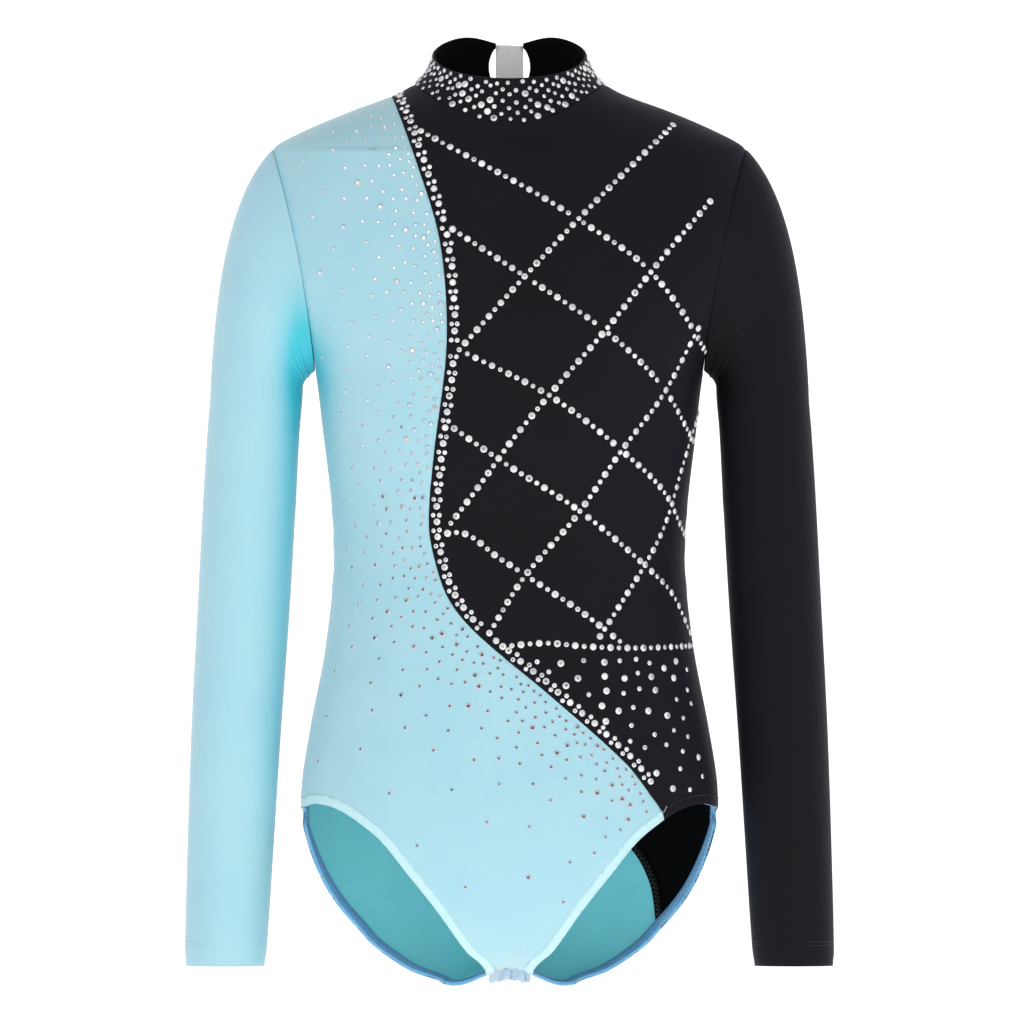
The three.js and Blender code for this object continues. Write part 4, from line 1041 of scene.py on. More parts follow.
def buildStoneTree():  # flat-backed cut stones on points that carry their own size, turn and tone
    tree, given, result = newTree("stones", [
        ("Crown", "NodeSocketFloat", 0.30), ("Table", "NodeSocketFloat", 0.52), ("Seed", "NodeSocketInt", 4),
        ("Material", "NodeSocketMaterial", None),
    ])
    facingAttribute = addNode(tree, "GeometryNodeInputNamedAttribute", {"Name": "facing"}, data_type="FLOAT_VECTOR")
    sizeAttribute = addNode(tree, "GeometryNodeInputNamedAttribute", {"Name": "size"}, data_type="FLOAT")
    upright = addNode(tree, "FunctionNodeAlignRotationToVector",
                      {"Vector": facingAttribute.outputs["Attribute"]}, axis="Z")
    twist = addNode(tree, "FunctionNodeRandomValue", {"Min": (-0.10, -0.10, 0.0), "Max": (0.10, 0.10, 3.1),
                                                      "Seed": given["Seed"]}, data_type="FLOAT_VECTOR")
    turn = addNode(tree, "FunctionNodeEulerToRotation", {"Euler": twist.outputs[0]})
    turned = addNode(tree, "FunctionNodeRotateRotation",
                     {"Rotation": upright.outputs[0], "Rotate By": turn.outputs[0]}, rotation_space="LOCAL")
    girdle = addNode(tree, "GeometryNodeMeshCone", {"Vertices": 10, "Radius Top": 0.94, "Radius Bottom": 1.0, "Depth": 0.16},
                     fill_type="NONE")
    crown = addNode(tree, "GeometryNodeMeshCone", {"Vertices": 10, "Radius Top": given["Table"], "Radius Bottom": 0.94,
                                                   "Depth": given["Crown"]}, fill_type="NGON")
    marked = addNode(tree, "GeometryNodeStoreNamedAttribute",
                     {"Geometry": crown.outputs["Mesh"], "Name": "table", "Value": crown.outputs["Top"]},
                     data_type="FLOAT", domain="FACE")
    lifted = addNode(tree, "GeometryNodeTransform", {"Geometry": marked.outputs[0], "Translation": (0, 0, 0.16)})
    both = addNode(tree, "GeometryNodeJoinGeometry")
    tree.links.new(girdle.outputs["Mesh"], both.inputs[0])
    tree.links.new(lifted.outputs[0], both.inputs[0])
    spread = addNode(tree, "GeometryNodeInstanceOnPoints",
                     {"Points": given["Geometry"], "Instance": both.outputs[0], "Rotation": turned.outputs[0],
                      "Scale": sizeAttribute.outputs["Attribute"]})
    real = addNode(tree, "GeometryNodeRealizeInstances", {"Geometry": spread.outputs[0]})
    painted = addNode(tree, "GeometryNodeSetMaterial", {"Geometry": real.outputs[0], "Material": given["Material"]})
    tree.links.new(painted.outputs[0], result["Geometry"])
    return tree


stitchTree = buildStitchTree()
stoneTree = buildStoneTree()


def setInputs(modifier, values):
    for item in modifier.node_group.interface.items_tree:
        if item.item_type == "SOCKET" and item.in_out == "INPUT" and item.name in values:
            modifier[item.identifier] = values[item.name]


def stitchRow(name, lines, facings, look, body="trunk"):  # rows of stitches along lines, as one piece
    points, edges, start = [], [], 0
    for line in lines:
        points.extend(map(tuple, line))
        edges.extend((start + i, start + i + 1) for i in range(len(line) - 1))
        start += len(line)
    data = bpy.data.meshes.new(name)
    data.from_pydata(points, edges, [])
    storeAttribute(data, "facing", "FLOAT_VECTOR", np.concatenate(facings))
    piece = bpy.data.objects.new(name, data)
    bpy.context.scene.collection.objects.link(piece)
    modifier = piece.modifiers.new("stitches", "NODES")
    modifier.node_group = stitchTree
    setInputs(modifier, {"Spacing": look["spacing"], "Length": look["length"], "Thread": look["thread"],
                         "Lean": look.get("lean", 0.0), "Material": look["material"]})
    finished(piece)
    if body:
        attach(piece, body)
    return piece


def seamLines(net, field, side, out):  # a field's zero lines on a net, lifted off the form
    lines, facings = [], []
    for line in traceLine(net, field):
        away = facing(line)
        lift = wrinkles(np.c_[line, line[:, :2]]) + out
        lines.append(line + away * lift[:, None])
        facings.append(away * side)
    return lines, facings


def shifted(field, by):
    return lambda p: field(p) + by


def welded(piece):
    bm = bmesh.new()
    bm.from_mesh(piece.data)
    bmesh.ops.remove_doubles(bm, verts=bm.verts, dist=0.03 * mm)
    bm.to_mesh(piece.data)
    bm.free()


def makeBand(name, net, fields, out, thickness, materials, seamFields=(), nodes=()):
    for field in fields:
        net = clip(net, field)
    points, faces = net
    piece = meshOf(name, (relief(points, list(seamFields), out), faces), materials)
    welded(piece)
    thicken(piece, thickness, inner=len(materials) - 1)
    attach(piece, "trunk")
    if nodes:
        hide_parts(*nodes)
    return piece


def besideX(side):  # keeps the wearer's right (-1) or left (1) half
    return lambda p: -p[:, 0] * side


def within(axis, low, high):  # keeps what lies between two positions, in mm
    return [lambda p: low * mm - p[:, axis], lambda p: p[:, axis] - high * mm]


def fromMiddle(low, high):  # and between two distances from the middle
    return [lambda p: low * mm - np.abs(p[:, 0]), lambda p: np.abs(p[:, 0]) - high * mm]


def clipAll(net, fields):
    for field in fields:
        net = clip(net, field)
    return net


hem = {
    "width": 6 * mm,
    "elastic": 6.2 * mm,
    "out": 0.16 * mm,
    "stitch": {"spacing": 2.3 * mm, "length": 1.75 * mm, "thread": 0.42 * mm, "material": aquaThread},
    "overlock": {"spacing": 1.25 * mm, "length": 5.6 * mm, "thread": 0.5 * mm, "lean": 1.3, "material": blueThread},
    "chain": {"spacing": 1.2 * mm, "length": 1.9 * mm, "thread": 0.8 * mm, "material": darkBlueThread},
}
print("cloth: hems and elastics")
inside = -cloth["thickness"]
waveFrontSide, waveBackSide = waveField(waveFront), waveField(waveBack)
frontAquaNet, frontBlackNet = clip(frontNet, waveFrontSide), clip(frontNet, otherSide(waveFrontSide))
backAquaNet, backBlackNet = clip(backNet, waveBackSide), clip(backNet, otherSide(waveBackSide))
makeBand("legHemAqua", frontAquaNet, [otherSide(shifted(legFrontEdge, hem["width"]))], hem["out"], 0.4 * mm, [aquaHem])
makeBand("legHemBlack", frontBlackNet, [otherSide(shifted(legFrontEdge, hem["width"]))], hem["out"], 0.4 * mm, [blackCloth])
for side, word in ((-1, "right"), (1, "left")):
    aroundLeg = joined(clip(clip(frontNet, besideX(side)), otherSide(shifted(legFrontEdge, hem["elastic"]))),
                       clip(clip(backNet, besideX(side)), otherSide(shifted(legBackEdge, hem["elastic"]))))
    makeBand("legElastic" + word.capitalize(), aroundLeg, [], inside - 0.2 * mm, 0.8 * mm, [blueThread],
             nodes=["leg_elastic_" + word])
    rim = clip(clip(backNet, besideX(side)), otherSide(shifted(legBackEdge, 0.9 * mm)))
    makeBand("legEdge" + word.capitalize(), rim, [], 0.25 * mm, 1.5 * mm, [blueThread])

for name, net, field, at, facingSide, out, look in (
    ("hemStitches", frontAquaNet, legFrontEdge, 5.3, 1, 0.26, hem["stitch"]),
    ("hemStitchesBlack", frontBlackNet, legFrontEdge, 5.3, 1, 0.26, {**hem["stitch"], "material": blackThread}),
    ("overlockAqua", backAquaNet, legBackEdge, 3.1, -1, -2.0, hem["overlock"]),
    ("overlockBlack", backBlackNet, legBackEdge, 3.1, -1, -2.0,
     {**hem["overlock"], "spacing": 1.9 * mm, "material": paleThread}),
    ("elasticChain", backNet, legBackEdge, 6.6, -1, -1.7, hem["chain"]),
):
    lines, facings = seamLines(net, shifted(field, at * mm), facingSide, out * mm)
    stitchRow(name, lines, facings, look)


def makeSeam(name, nodes, net, limits, centre, thread):  # the trimmed, overlocked edges inside a seam
    makeBand(name, net, limits, inside - 0.25 * mm, 0.6 * mm, [thread["cloth"]], nodes=nodes)
    field, width = centre
    for limit in limits:
        net = clip(net, limit)
    lines, facings = seamLines(net, field, -1, inside - 1.0 * mm)
    if lines:
        stitchRow(name + "Thread", lines, facings,
                  {"spacing": 1.5 * mm, "length": width, "thread": 0.4 * mm, "lean": 1.25, "material": thread["thread"]})


aquaSewing = {"cloth": aquaInside, "thread": aquaThread}
blackSewing = {"cloth": blackInside, "thread": blackThread}
clearOfLegs = [shifted(legFrontEdge, 7 * mm)]
clearOfLegsBack = [shifted(legBackEdge, 7 * mm)]
wholeNet = joined(frontNet, backNet)


def bandOf(field, low, high):  # keeps a strip between two distances inside a field's edge, in mm
    return [shifted(field, low * mm), otherSide(shifted(field, high * mm))]


def acrossSides(p):  # how far in front of or behind the side line
    return p[:, 1] + 1e-5


stitchWidth = 4.4 * mm
print("cloth: seams")
makeSeam("waveSeamFront", ["wave_seam_front"], frontNet,
         [*bandOf(waveFrontSide, -2.5, 2.5), *clearOfLegs, shifted(neckField, 7 * mm)], (waveFrontSide, 4.6 * mm),
         blackSewing)
makeSeam("waveSeamBack", ["wave_seam_back"], backNet,
         [*bandOf(waveBackSide, -2.5, 2.5), *clearOfLegsBack, shifted(neckField, 7 * mm)], (waveBackSide, 4.6 * mm),
         blackSewing)
for side, word, sewing in ((-1, "right", aquaSewing), (1, "left", blackSewing)):
    half = clip(wholeNet, besideX(side))
    title = word.capitalize()
    makeSeam("armholeSeam" + title, ["armhole_seam_" + word], half,
             [*bandOf(armholeField, 0.3, 5.3), *within(2, -158, 30)],
             (shifted(armholeField, 2.8 * mm), stitchWidth), sewing)
    makeSeam("shoulderSeam" + title, ["shoulder_seam_" + word], half,
             [*within(1, -2.5, 2.5), *within(2, -30, 30), *fromMiddle(64, 131)],
             (acrossSides, stitchWidth), sewing)
    makeSeam("sideSeam" + title, ["side_seam_" + word], half,
             [*within(1, -2.5, 2.5), *within(2, -411, -164)], (acrossSides, stitchWidth), sewing)
makeSeam("neckSeam", ["neck_seam"], clip(wholeNet, shifted(keyholeField, 5.5 * mm)),
         [*bandOf(neckField, 0.2, 5.2), *within(2, -60, 40)], (shifted(neckField, 2.7 * mm), stitchWidth),
         blackSewing)
makeSeam("keyholeBinding", ["keyhole_binding"], clip(backNet, shifted(neckField, 0.3 * mm)),
         [*bandOf(keyholeField, 0.2, 5.2), *within(2, -80, 40)],
         (shifted(keyholeField, 2.7 * mm), stitchWidth), blackSewing)
makeSeam("crotchSeam", ["crotch_seam"], wholeNet,
         [*within(1, -2.5, 2.5), *within(0, -12.8, 12.8), *within(2, -540, -500)],
         (acrossSides, stitchWidth), aquaSewing)
keyholeEdge = {"spacing": 2.4 * mm, "length": 1.8 * mm, "thread": 0.4 * mm, "material": blackThread}
lines, facings = seamLines(backNet, shifted(keyholeField, 4.6 * mm), 1, 0.12 * mm)
stitchRow("keyholeStitches", lines, facings, keyholeEdge)


def makeLining():  # doubles the crotch and the lower front, inside the elastics
    top, half = -467 * mm, 13.2 * mm
    lower = -529 * mm + 15 * mm

    def shape(p):
        widening = np.clip((p[:, 2] - lower) / (top - lower), 0, 1)
        return np.abs(p[:, 0]) - half - 30 * mm * widening
    net = joined(clipAll(frontNet, within(2, -600, -467)), clipAll(backNet, within(2, -600, -515.5)))
    net = clipAll(net, within(0, -60, 60))
    makeBand("crotchLining", net, [shape], inside - 1.15 * mm, 0.5 * mm, [liningCloth], nodes=["crotch_lining"])
    lines, facings = seamLines(net, shifted(shape, 2 * mm), -1, inside - 1.7 * mm)
    stitchRow("liningStitches", lines, facings, {**hem["stitch"], "material": aquaThread})


makeLining()


def makeGathers():  # the crotch elastic's end draws the cloth into a small ruffle
    ruffle = {"half": 12.5 * mm, "drop": 8.5 * mm, "folds": 3.6, "depth": 2.4 * mm, "rows": 14, "columns": 150}
    rows = []
    for i in range(ruffle["rows"]):
        down = i / (ruffle["rows"] - 1)
        row = []
        for j in range(ruffle["columns"]):
            t = j / (ruffle["columns"] - 1) * 2 - 1
            phase = t * math.pi * ruffle["folds"] + 0.7 * math.sin(5 * t + 1)
            x = ruffle["half"] * (t + 0.06 * math.sin(2 * phase) * (0.4 + down) * (1 - t ** 4))
            y = -4.5 * mm + ruffle["depth"] * (0.35 + 0.75 * down) * math.sin(phase) + 1.2 * mm * math.sin(9 * t) * down
            base = underForm(x, -4.5 * mm) + 1.5 * mm
            edge = 0.9 + 0.1 * math.sin(2 * phase + 1.5) + 0.05 * math.sin(11 * t) - 0.25 * t ** 6
            z = base - ruffle["drop"] * down * edge
            row.append((x, y, z, j * 0.4 * mm, down * ruffle["drop"]))
        rows.append(row)
    count = ruffle["columns"]
    faces = [(i * count + j, (i + 1) * count + j, (i + 1) * count + j + 1, i * count + j + 1)
             for i in range(ruffle["rows"] - 1) for j in range(count - 1)]
    piece = meshOf("crotchGathers", (np.array(rows).reshape(-1, 5), faces), [gatherCloth])
    # painted shade in the ruffle's folds
    shade = [max(0.0, 0.75 * math.sin(v.co.x * 900 + 2)) * (v.co.y > -4 * mm) for v in piece.data.vertices]
    storeAttribute(piece.data, "paintedShade", "FLOAT", shade)
    thicken(piece, 0.5 * mm)
    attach(piece, "trunk")
    lines = [np.array([(p[0], p[1] - 0.35 * mm, p[2]) for p in rows[-2]])]
    away = [np.tile(np.array([0.0, -1.0, -0.2]), (count, 1))]
    stitchRow("gatherStitches", lines, away, {"spacing": 1.5 * mm, "length": 1.9 * mm, "thread": 0.45 * mm,
                                             "lean": 1.1, "material": paleThread})


makeGathers()


def makeTack():  # a whisker of white thread where the colour seam ends at the leg
    spot = onForm(np.array([91.0]) * mm, np.array([-421.0]) * mm, -1.0)[0]
    away = facing(spot[None])[0]
    lines = [np.array([spot + away * 0.6 * mm + np.array([0.6 * k, 0, 0.22 * k * k - 0.4]) * mm for k in range(5)])]
    stitchRow("seamTack", lines, [np.tile(away, (5, 1))],
              {"spacing": 0.9 * mm, "length": 1.2 * mm, "thread": 0.4 * mm, "material": paleThread})


makeTack()

print("cloth: sleeve seams and cuffs")


def sleevePart(name, side, rows, columns, inset, thickness, material, node=None):
    net = sleeveShape[rows][:, columns].copy()
    middle = (sleeveOuter(net[..., 2]) + sleeveInner(net[..., 2])) / 2
    outward = np.stack([net[..., 0] - middle, net[..., 1], np.zeros(middle.shape)], axis=-1)
    outward /= np.linalg.norm(outward, axis=-1, keepdims=True)
    net[..., :3] -= outward * inset
    net[..., 0] *= side
    count = net.shape[1]
    faces = []
    for i in range(net.shape[0] - 1):
        for j in range(count - 1):
            quad = (i * count + j, (i + 1) * count + j, (i + 1) * count + j + 1, i * count + j + 1)
            faces.append(quad if side > 0 else quad[::-1])
    piece = meshOf(name, (net.reshape(-1, 5), faces), [material])
    welded(piece)
    thicken(piece, thickness)
    if node:
        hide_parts(node)
    return piece


lastRow = sleeveShape.shape[0]
quarter = sleeveCut["around"] // 2
for side, word, inner, thread in ((-1, "Right", aquaInside, aquaThread), (1, "Left", blackInside, blackThread)):
    body = word.lower() + "_sleeve"
    seam = sleevePart("sleeveSeam" + word, side, slice(40, lastRow - 7), slice(quarter - 1, quarter + 2), 1.15 * mm,
                      0.6 * mm, inner, "sleeve_seam_" + word.lower())
    blendSleeve(seam)
    cuff = sleevePart("cuffHem" + word, side, slice(lastRow - 6, lastRow), slice(None), 1.15 * mm, 0.6 * mm, inner,
                      "cuff_stitching_" + word.lower())
    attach(cuff, body)
    for at, label in ((12.4, "A"), (14.6, "B")):
        z = sleeveCut["cuffZ"] + at * mm
        angles = np.linspace(0, 2 * np.pi, 97)
        middle, half = (sleeveOuter(z) + sleeveInner(z)) / 2, (sleeveOuter(z) - sleeveInner(z)) / 2 + 0.12 * mm
        ring = np.stack([side * (middle + half * np.cos(angles)), half * sleeveCut["roundness"] * np.sin(angles),
                         np.full(97, z)], axis=1)
        away = np.stack([side * np.cos(angles), np.sin(angles), np.zeros(97)], axis=1)
        stitchRow("cuffStitches" + word + label, [ring], [away], {**hem["stitch"], "material": thread}, body)

tapeCut = {"thickness": 1.0 * mm, "height": 27 * mm, "ribs": 6, "columns": 120, "rows": 60}
tapeLean = math.atan2(bodyForm["neckDepthHalf"] - 42 * mm, 2 * tapeCut["height"])


def makeTape(name, node, body, foldAt, backing=0.0):  # a woven tape with upright ribs, frayed a little at its ends
    low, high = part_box(node)
    low.x -= backing
    centre = (low + high) / 2
    width = high.x - low.x
    rows = []
    for i in range(tapeCut["rows"] + 1):
        up = (i / tapeCut["rows"] - 0.5) * tapeCut["height"]
        row = []
        for j in range(tapeCut["columns"] + 1):
            across = j / tapeCut["columns"]
            x = (across - 0.5) * width
            rib = abs(math.sin(math.pi * tapeCut["ribs"] * across)) ** 0.5
            weft = 0.5 + 0.5 * math.sin(2 * math.pi * up / (0.9 * mm))
            fold = math.exp(-(((across - foldAt) / 0.05) ** 2))
            front = -tapeCut["thickness"] / 2 - 0.16 * mm * rib - 0.05 * mm * weft + 0.22 * mm * fold
            edge = 0.25 * mm * noise.noise(Vector((x * 900, i * 0.0, 3))) if i in (0, tapeCut["rows"]) else 0
            row.append((x, front, up + edge))
        rows.append(row)
    back = [[(x, tapeCut["thickness"] / 2, up) for x, _, up in row] for row in rows]
    points, count = [], tapeCut["columns"] + 1
    for side in (rows, back):
        for row in side:
            for x, y, up in row:
                points.append((centre.x + x, centre.y + y * math.cos(tapeLean) - up * math.sin(tapeLean),
                               centre.z + up * math.cos(tapeLean) + y * math.sin(tapeLean), x, up))
    size = len(points) // 2
    faces = []
    for i in range(tapeCut["rows"]):
        for j in range(count - 1):
            a = i * count + j
            faces.append((a, a + 1, a + count + 1, a + count))
            faces.append((size + a, size + a + count, size + a + count + 1, size + a + 1))
    loop = [j for j in range(count)] + [i * count + count - 1 for i in range(1, tapeCut["rows"] + 1)]
    loop += [tapeCut["rows"] * count + j for j in range(count - 2, -1, -1)]
    loop += [i * count for i in range(tapeCut["rows"] - 1, 0, -1)]
    for k, a in enumerate(loop):
        b = loop[(k + 1) % len(loop)]
        faces.append((b, a, a + size, b + size))
    piece = meshOf(name, (np.array(points), faces), [tapeCloth])
    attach(piece, body)
    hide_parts(node)
    tack = []
    for end in (-1, 1):
        for edge in (-0.42, 0.42):
            a = np.array([(edge * width, -tapeCut["thickness"] / 2 - 0.25 * mm, end * (10.5 + 0.7 * k) * mm)
                          for k in range(4)])
            y = a[:, 1] * math.cos(tapeLean) - a[:, 2] * math.sin(tapeLean)
            z = a[:, 2] * math.cos(tapeLean) + a[:, 1] * math.sin(tapeLean)
            tack.append(np.stack([centre.x + a[:, 0], centre.y + y, centre.z + z], axis=1))
    stitchRow(name + "Tacks", tack, [np.tile(np.array([0.0, -1.0, 0.1]), (4, 1))] * len(tack),
              {"spacing": 0.6 * mm, "length": 1.3 * mm, "thread": 0.3 * mm, "lean": 1.5, "material": paleThread}, body)


makeTape("eyeTape", "eye_tape", "trunk", 0.52, 7 * mm)
makeTape("hookTape", "hook_tape", "hook_side", 0.88)

stones = {
    "large": 2.15 * mm,  # radius
    "small": 1.55 * mm,
    "pitch": 5.4 * mm,
    "seed": 7,
}
rng = np.random.default_rng(stones["seed"])

latticeDown = [  # lines that fall to the wearer's left, as (x, z) on the front, in mm
    [(-53, -14), (41, -67), (84, -98), (96, -112), (110, -133), (119, -149)],
    [(-34, -73), (12, -103), (55, -132), (74, -148), (93, -169), (110, -199)],
    [(-30, -145), (28, -175), (67, -205), (94, -232), (105, -256)],
    [(-33, -192), (-7, -210), (43, -242), (78, -271), (97, -290), (108, -314)],
    [(-37, -254.5), (-31, -254), (-6, -269.4), (15, -283), (46, -303.6), (57, -312), (66, -319)],
]
latticeUp = [  # lines that rise to the wearer's left
    [(98, -10), (41, -67), (12, -98), (-30, -145)],
    [(120, -56), (88, -94), (60, -130), (28, -167), (0, -201), (-18, -226), (-35, -248.5)],
    [(113, -132), (91, -173), (67, -205), (40, -244), (7, -283), (-12, -314)],
    [(114, -179), (102, -220), (94, -247), (65, -299), (54, -316)],
    [(-4, -322), (22, -320), (45, -322), (76, -323), (109, -322)],
]


def splineThrough(knots, count=240):  # a smooth line through a few points
    knots = np.array(knots, float)
    t = np.r_[0, np.cumsum(np.linalg.norm(np.diff(knots, axis=0), axis=1))]
    fine = np.linspace(0, t[-1], count)
    slopes = np.gradient(knots, t, axis=0)
    i = np.clip(np.searchsorted(t, fine, side="right") - 1, 0, len(t) - 2)
    span = (t[i + 1] - t[i])[:, None]
    s = ((fine - t[i])[:, None]) / span
    return (knots[i] * (2 * s ** 3 - 3 * s ** 2 + 1) + slopes[i] * span * (s ** 3 - 2 * s ** 2 + s)
            + knots[i + 1] * (3 * s ** 2 - 2 * s ** 3) + slopes[i + 1] * span * (s ** 3 - s ** 2))


def onFront(flat):  # points on the front from (x, z) rows in metres
    width, _, _, _ = section(flat[:, 1])
    x = np.clip(flat[:, 0], -0.999 * width, 0.999 * width)
    return onForm(x, flat[:, 1], -1.0)


def placeStones(name, groups, material, clear):  # groups of (points, facings, radii); close ones are dropped
    points = np.concatenate([g[0] for g in groups])
    facings = np.concatenate([g[1] for g in groups])
    radii = np.concatenate([g[2] for g in groups])
    kept = []
    for i in range(len(points)):
        gaps = [np.linalg.norm(points[i] - points[j]) - 0.92 * (radii[i] + radii[j]) for j in kept]
        if not gaps or min(gaps) > 0:
            kept.append(i)
    points, facings, radii = points[kept], facings[kept], radii[kept]
    data = bpy.data.meshes.new(name)
    data.from_pydata([tuple(p) for p in points], [], [])
    storeAttribute(data, "facing", "FLOAT_VECTOR", facings)
    storeAttribute(data, "size", "FLOAT", radii)
    storeAttribute(data, "tone", "FLOAT", rng.random(len(points)) ** 0.7)
    storeAttribute(data, "clear", "FLOAT", clear(points))
    piece = bpy.data.objects.new(name, data)
    bpy.context.scene.collection.objects.link(piece)
    modifier = piece.modifiers.new("stones", "NODES")
    modifier.node_group = stoneTree
    setInputs(modifier, {"Crown": 0.34, "Table": 0.5, "Seed": 4, "Material": material})
    finished(piece)
    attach(piece, "trunk")
    print("stones:", name, len(points))
    return piece


def seated(points):  # seats points on the finished cloth of the front
    spots, away = [], []
    for x, _, z in points:
        hit, normal, _, _ = frontCloth.ray_cast(Vector((x, -0.4, z)), Vector((0, 1, 0)))
        if hit is None or normal.y > -0.04:
            continue
        spots.append(hit - normal * 0.06 * mm)
        away.append(normal)
    return np.array(spots).reshape(-1, 3), np.array(away).reshape(-1, 3)


def latticeStones():
    groups = []
    for line in latticeUp[:4] + latticeDown + latticeUp[4:]:
        spots = alongLine(onFront(splineThrough(line) * mm), stones["pitch"])
        spots = spots[(spots[:, 0] - waveFront(spots[:, 2])) > 3 * mm]
        spots, away = seated(spots)
        radii = np.where(np.arange(len(spots)) % 2 == 0, stones["large"], stones["small"])
        groups.append((spots, away, radii * rng.normal(1, 0.03, len(spots))))
    return groups


def borderStones():  # beside the wave seam: two small stones side by side, then a large one
    line = traceLine(frontNet, waveField(waveFront))
    line = max(line, key=len)
    if line[0, 2] < line[-1, 2]:
        line = line[::-1]
    half = alongLine(line, 4.8 * mm)
    groups = []
    for k in range(len(half) - 2):
        along = half[k + 1] - half[k]
        across = np.array([-along[2], 0, along[0]])
        across /= np.linalg.norm(across)
        across = across if across[0] > 0 else -across
        if half[k, 2] < -407 * mm:
            break
        back = 0.0
        if k % 2 == 0:
            pair = [(2.9 * mm, 1.45 * mm), (6.4 * mm, 1.5 * mm)]
        else:
            pair = [(4.8 * mm, 2.1 * mm)]
            back = 0.13  # the large stone sits close under its pair
        for away, radius in pair:
            away += rng.normal(0, 0.15 * mm)
            p = half[k] + across * away - along * back
            p, outward = seated(p[None])
            groups.append((p, outward, np.full(len(p), radius)))
    return groups


def scatter(inside, spacing, bounds, tries):  # stones strewn with a gap that changes over the cloth
    (x0, x1), (z0, z1) = bounds
    chosen = []
    for _ in range(tries):
        x, z = rng.uniform(x0, x1), rng.uniform(z0, z1)
        if not inside(x, z):
            continue
        gap = spacing(x, z)
        if all((x - a) ** 2 + (z - b) ** 2 > (0.5 * (gap + g)) ** 2 for a, b, g in chosen):
            chosen.append((x, z, gap))
    return np.array(chosen)


def waveDistance(x, z):
    return -float(waveField(waveFront)(np.array([[x, 0, z, 0, 0]]))[0])


def hipStones():
    def inside(x, z):
        width = float(section(z)[0])
        return waveDistance(x, z) < -10 * mm and x < width - 6 * mm and z < -329 * mm
    spread = scatter(inside, lambda x, z: 7.8 * mm + 2.2 * mm * max(0, (-329 * mm - z) / (80 * mm)),
                     ((0, 0.125), (-0.408, -0.329)), 9000)
    spots, away = seated(onFront(spread[:, :2]))
    radii = np.where(rng.random(len(spots)) < 0.33, stones["large"], stones["small"])
    return [(spots, away, radii)]


def aquaStones():
    def inside(x, z):
        away = waveDistance(x, z)
        width = float(section(z)[0])
        edge = float(legFrontField(np.array([[x, 0, z, 0, 0]]))[0])
        reach = 74 * mm if z > -240 * mm else 74 * mm + 0.5 * (-240 * mm - z)
        return 2.6 * mm < away < reach and x > -width + 8 * mm and edge < -9 * mm and z > -484 * mm

    def spacing(x, z):
        away = waveDistance(x, z)
        base = 3.9 * mm + 15 * mm * (away / (85 * mm)) ** 1.3
        return base + 6.5 * mm * max(0, (-395 * mm - z) / (60 * mm)) * (1 if x < 45 * mm else 0.2)
    spread = scatter(inside, spacing, ((-0.125, 0.1), (-0.486, 0.004)), 26000)
    spots, away = seated(onFront(spread[:, :2]))
    radii = np.where(rng.random(len(spots)) < 0.14, 1.9 * mm, 1.35 * mm)
    return [(spots, away, radii)]


def collarStones():
    groups = []
    rows = 7
    for row in range(rows):
        up = 0.10 + 0.84 * row / (rows - 1)
        arc = 8.3 * mm / (50 * mm)
        count = int(2.2 / arc)
        for k in range(-count, count + 1):
            angle = (k + 0.5 * (row % 2)) * arc + rng.normal(0, 0.012)
            here = up + rng.normal(0, 0.022)
            if abs(angle) > 2.25 or not 0.06 < here < 0.97:
                continue
            p = collarPoint(angle, here, -0.05 * mm)
            ahead = collarPoint(angle + 0.02, here) - p
            above = collarPoint(angle, min(here + 0.05, 1)) - collarPoint(angle, here)
            away = np.cross(ahead, above)
            away /= np.linalg.norm(away)
            if away @ np.array([math.sin(angle), -math.cos(angle), 0]) < 0:
                away = -away
            radius = stones["large"] if rng.random() < 0.2 else rng.uniform(1.25, 1.5) * mm
            groups.append((p[None], away[None], np.array([radius])))
    return groups


# painted reflection: each stone's table gets a random share of the light colour
def randomTableReflection(points):
    return rng.random(len(points)) ** 0.6


def tableReflectionByHeight(points):  # painted reflection: lower down, the stones' tables are darker, as if reflecting darker surroundings
    return np.clip(1 + (points[:, 2] + 150 * mm) / (150 * mm) + rng.normal(0, 0.2, len(points)), 0, 1)


placeStones("stonesLattice", latticeStones() + borderStones() + hipStones(), clearStone, randomTableReflection)
placeStones("stonesAqua", aquaStones(), opalStone, tableReflectionByHeight)
placeStones("stonesCollar", collarStones(), clearStone, randomTableReflection)

stretch = 1.05  # assumed: worn, the knit is this much longer and wider than it was cut


def cutSize(piece):  # an estimate of the flat size, from the finished mesh and not from a pattern
    uv = np.zeros(len(piece.data.loops) * 2, np.float32)
    piece.data.uv_layers["cloth"].data.foreach_get("uv", uv)
    across, along = np.ptp(uv[0::2]), np.ptp(uv[1::2])
    return max(float(across), 0.02) / stretch, max(float(along), 0.02) / stretch


for piece in (frontAqua, frontBlack, backAqua, backBlack, sleeveRight, sleeveLeft, collar):
    width, length = cutSize(piece)

for node in ("hook_upper", "hook_lower", "eye_upper", "eye_lower"):
    frame["nodes"][node].data.materials.clear()
    frame["nodes"][node].data.materials.append(wireSteel)

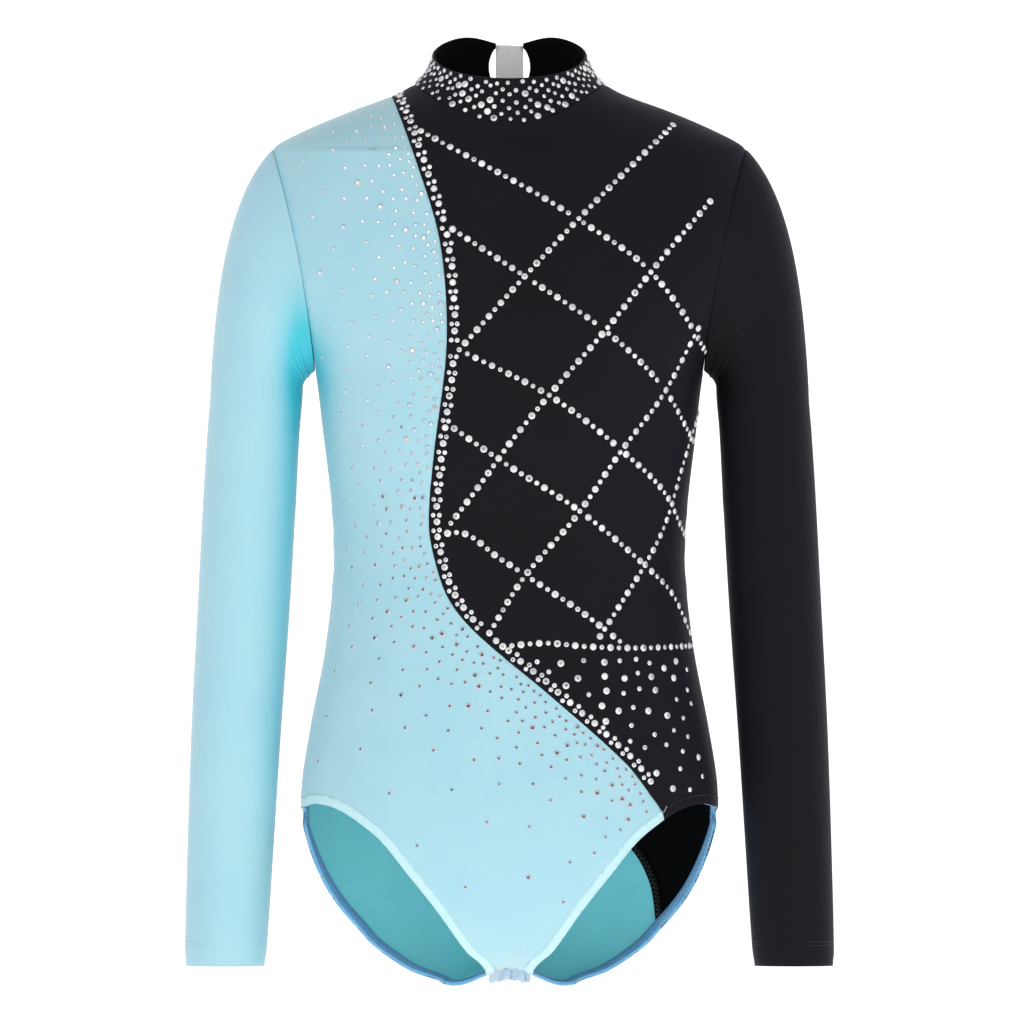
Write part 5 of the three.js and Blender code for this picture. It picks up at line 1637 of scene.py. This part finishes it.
def makeStage():
    floorZ = lowestZ - 0.42
    rows = [(-3.2, floorZ), (1.6, floorZ)]
    for i in range(1, 13):
        a = math.pi / 2 * i / 12
        rows.append((1.6 + 1.2 * math.sin(a), floorZ + 1.2 * (1 - math.cos(a))))
    rows.append((2.8, 3.6))
    verts = [(x, y, z) for y, z in rows for x in (-4.5, 4.5)]
    faces = [(2 * i, 2 * i + 1, 2 * i + 3, 2 * i + 2) for i in range(len(rows) - 1)]
    backdrop = meshOf("backdrop", (np.array(verts), faces), [])
    material = bpy.data.materials.new("paleFloor")
    material.use_nodes = True
    shader = material.node_tree.nodes["Principled BSDF"]
    shader.inputs["Base Color"].default_value = (0.96, 0.96, 0.96, 1)
    shader.inputs["Roughness"].default_value = 0.9
    shader.inputs["Emission Color"].default_value = (1, 1, 1, 1)
    shader.inputs["Emission Strength"].default_value = 0.45
    nodes = material.node_tree.nodes
    sideSeen = nodes.new("ShaderNodeNewGeometry")
    sideSeen.location = (-400, 0)
    frontOnly = nodes.new("ShaderNodeMath")  # from behind, the backdrop is clear
    frontOnly.operation = "SUBTRACT"
    frontOnly.location = (-200, 0)
    frontOnly.inputs[0].default_value = 1
    material.node_tree.links.new(sideSeen.outputs["Backfacing"], frontOnly.inputs[1])
    material.node_tree.links.new(frontOnly.outputs["Value"], shader.inputs["Alpha"])
    backdrop.data.materials.append(material)


def softLight(name, place, size, power, target=(0, 0, -0.24)):
    data = bpy.data.lights.new(name, "AREA")
    data.shape = "RECTANGLE"
    data.size, data.size_y = size
    data.energy = power
    light = bpy.data.objects.new(name, data)
    light.location = place
    light.rotation_euler = (Vector(target) - Vector(place)).to_track_quat("-Z", "Y").to_euler()
    bpy.context.scene.collection.objects.link(light)


makeStage()
softLight("key", (-1.0, -2.4, 1.2), (1.8, 1.6), 20)
softLight("fill", (1.5, -2.0, 0.1), (1.4, 1.8), 11)
softLight("low", (0, -1.5, -0.85), (1.2, 0.5), 4, (0, 0.06, -0.46))
softLight("rimRight", (1.7, 0.7, 0.3), (0.7, 1.6), 2)
softLight("rimLeft", (-1.7, 0.7, 0.3), (0.7, 1.6), 2)

scene = bpy.context.scene
world = bpy.data.worlds.new("studio")
world.use_nodes = True
world.node_tree.nodes["Background"].inputs["Color"].default_value = (1, 1, 1, 1)
world.node_tree.nodes["Background"].inputs["Strength"].default_value = 0.5
scene.world = world
scene.view_settings.view_transform = "Standard"

cameraData = bpy.data.cameras.new("camera")
cameraData.sensor_width = 36
cameraData.lens = 36 * 12 / 0.6144
cameraData.clip_end = 30
camera = bpy.data.objects.new("camera", cameraData)
camera.location = (1.5 * mm, -12, -0.2418)
camera.rotation_euler = (math.pi / 2, 0, 0)
scene.collection.objects.link(camera)
scene.camera = camera
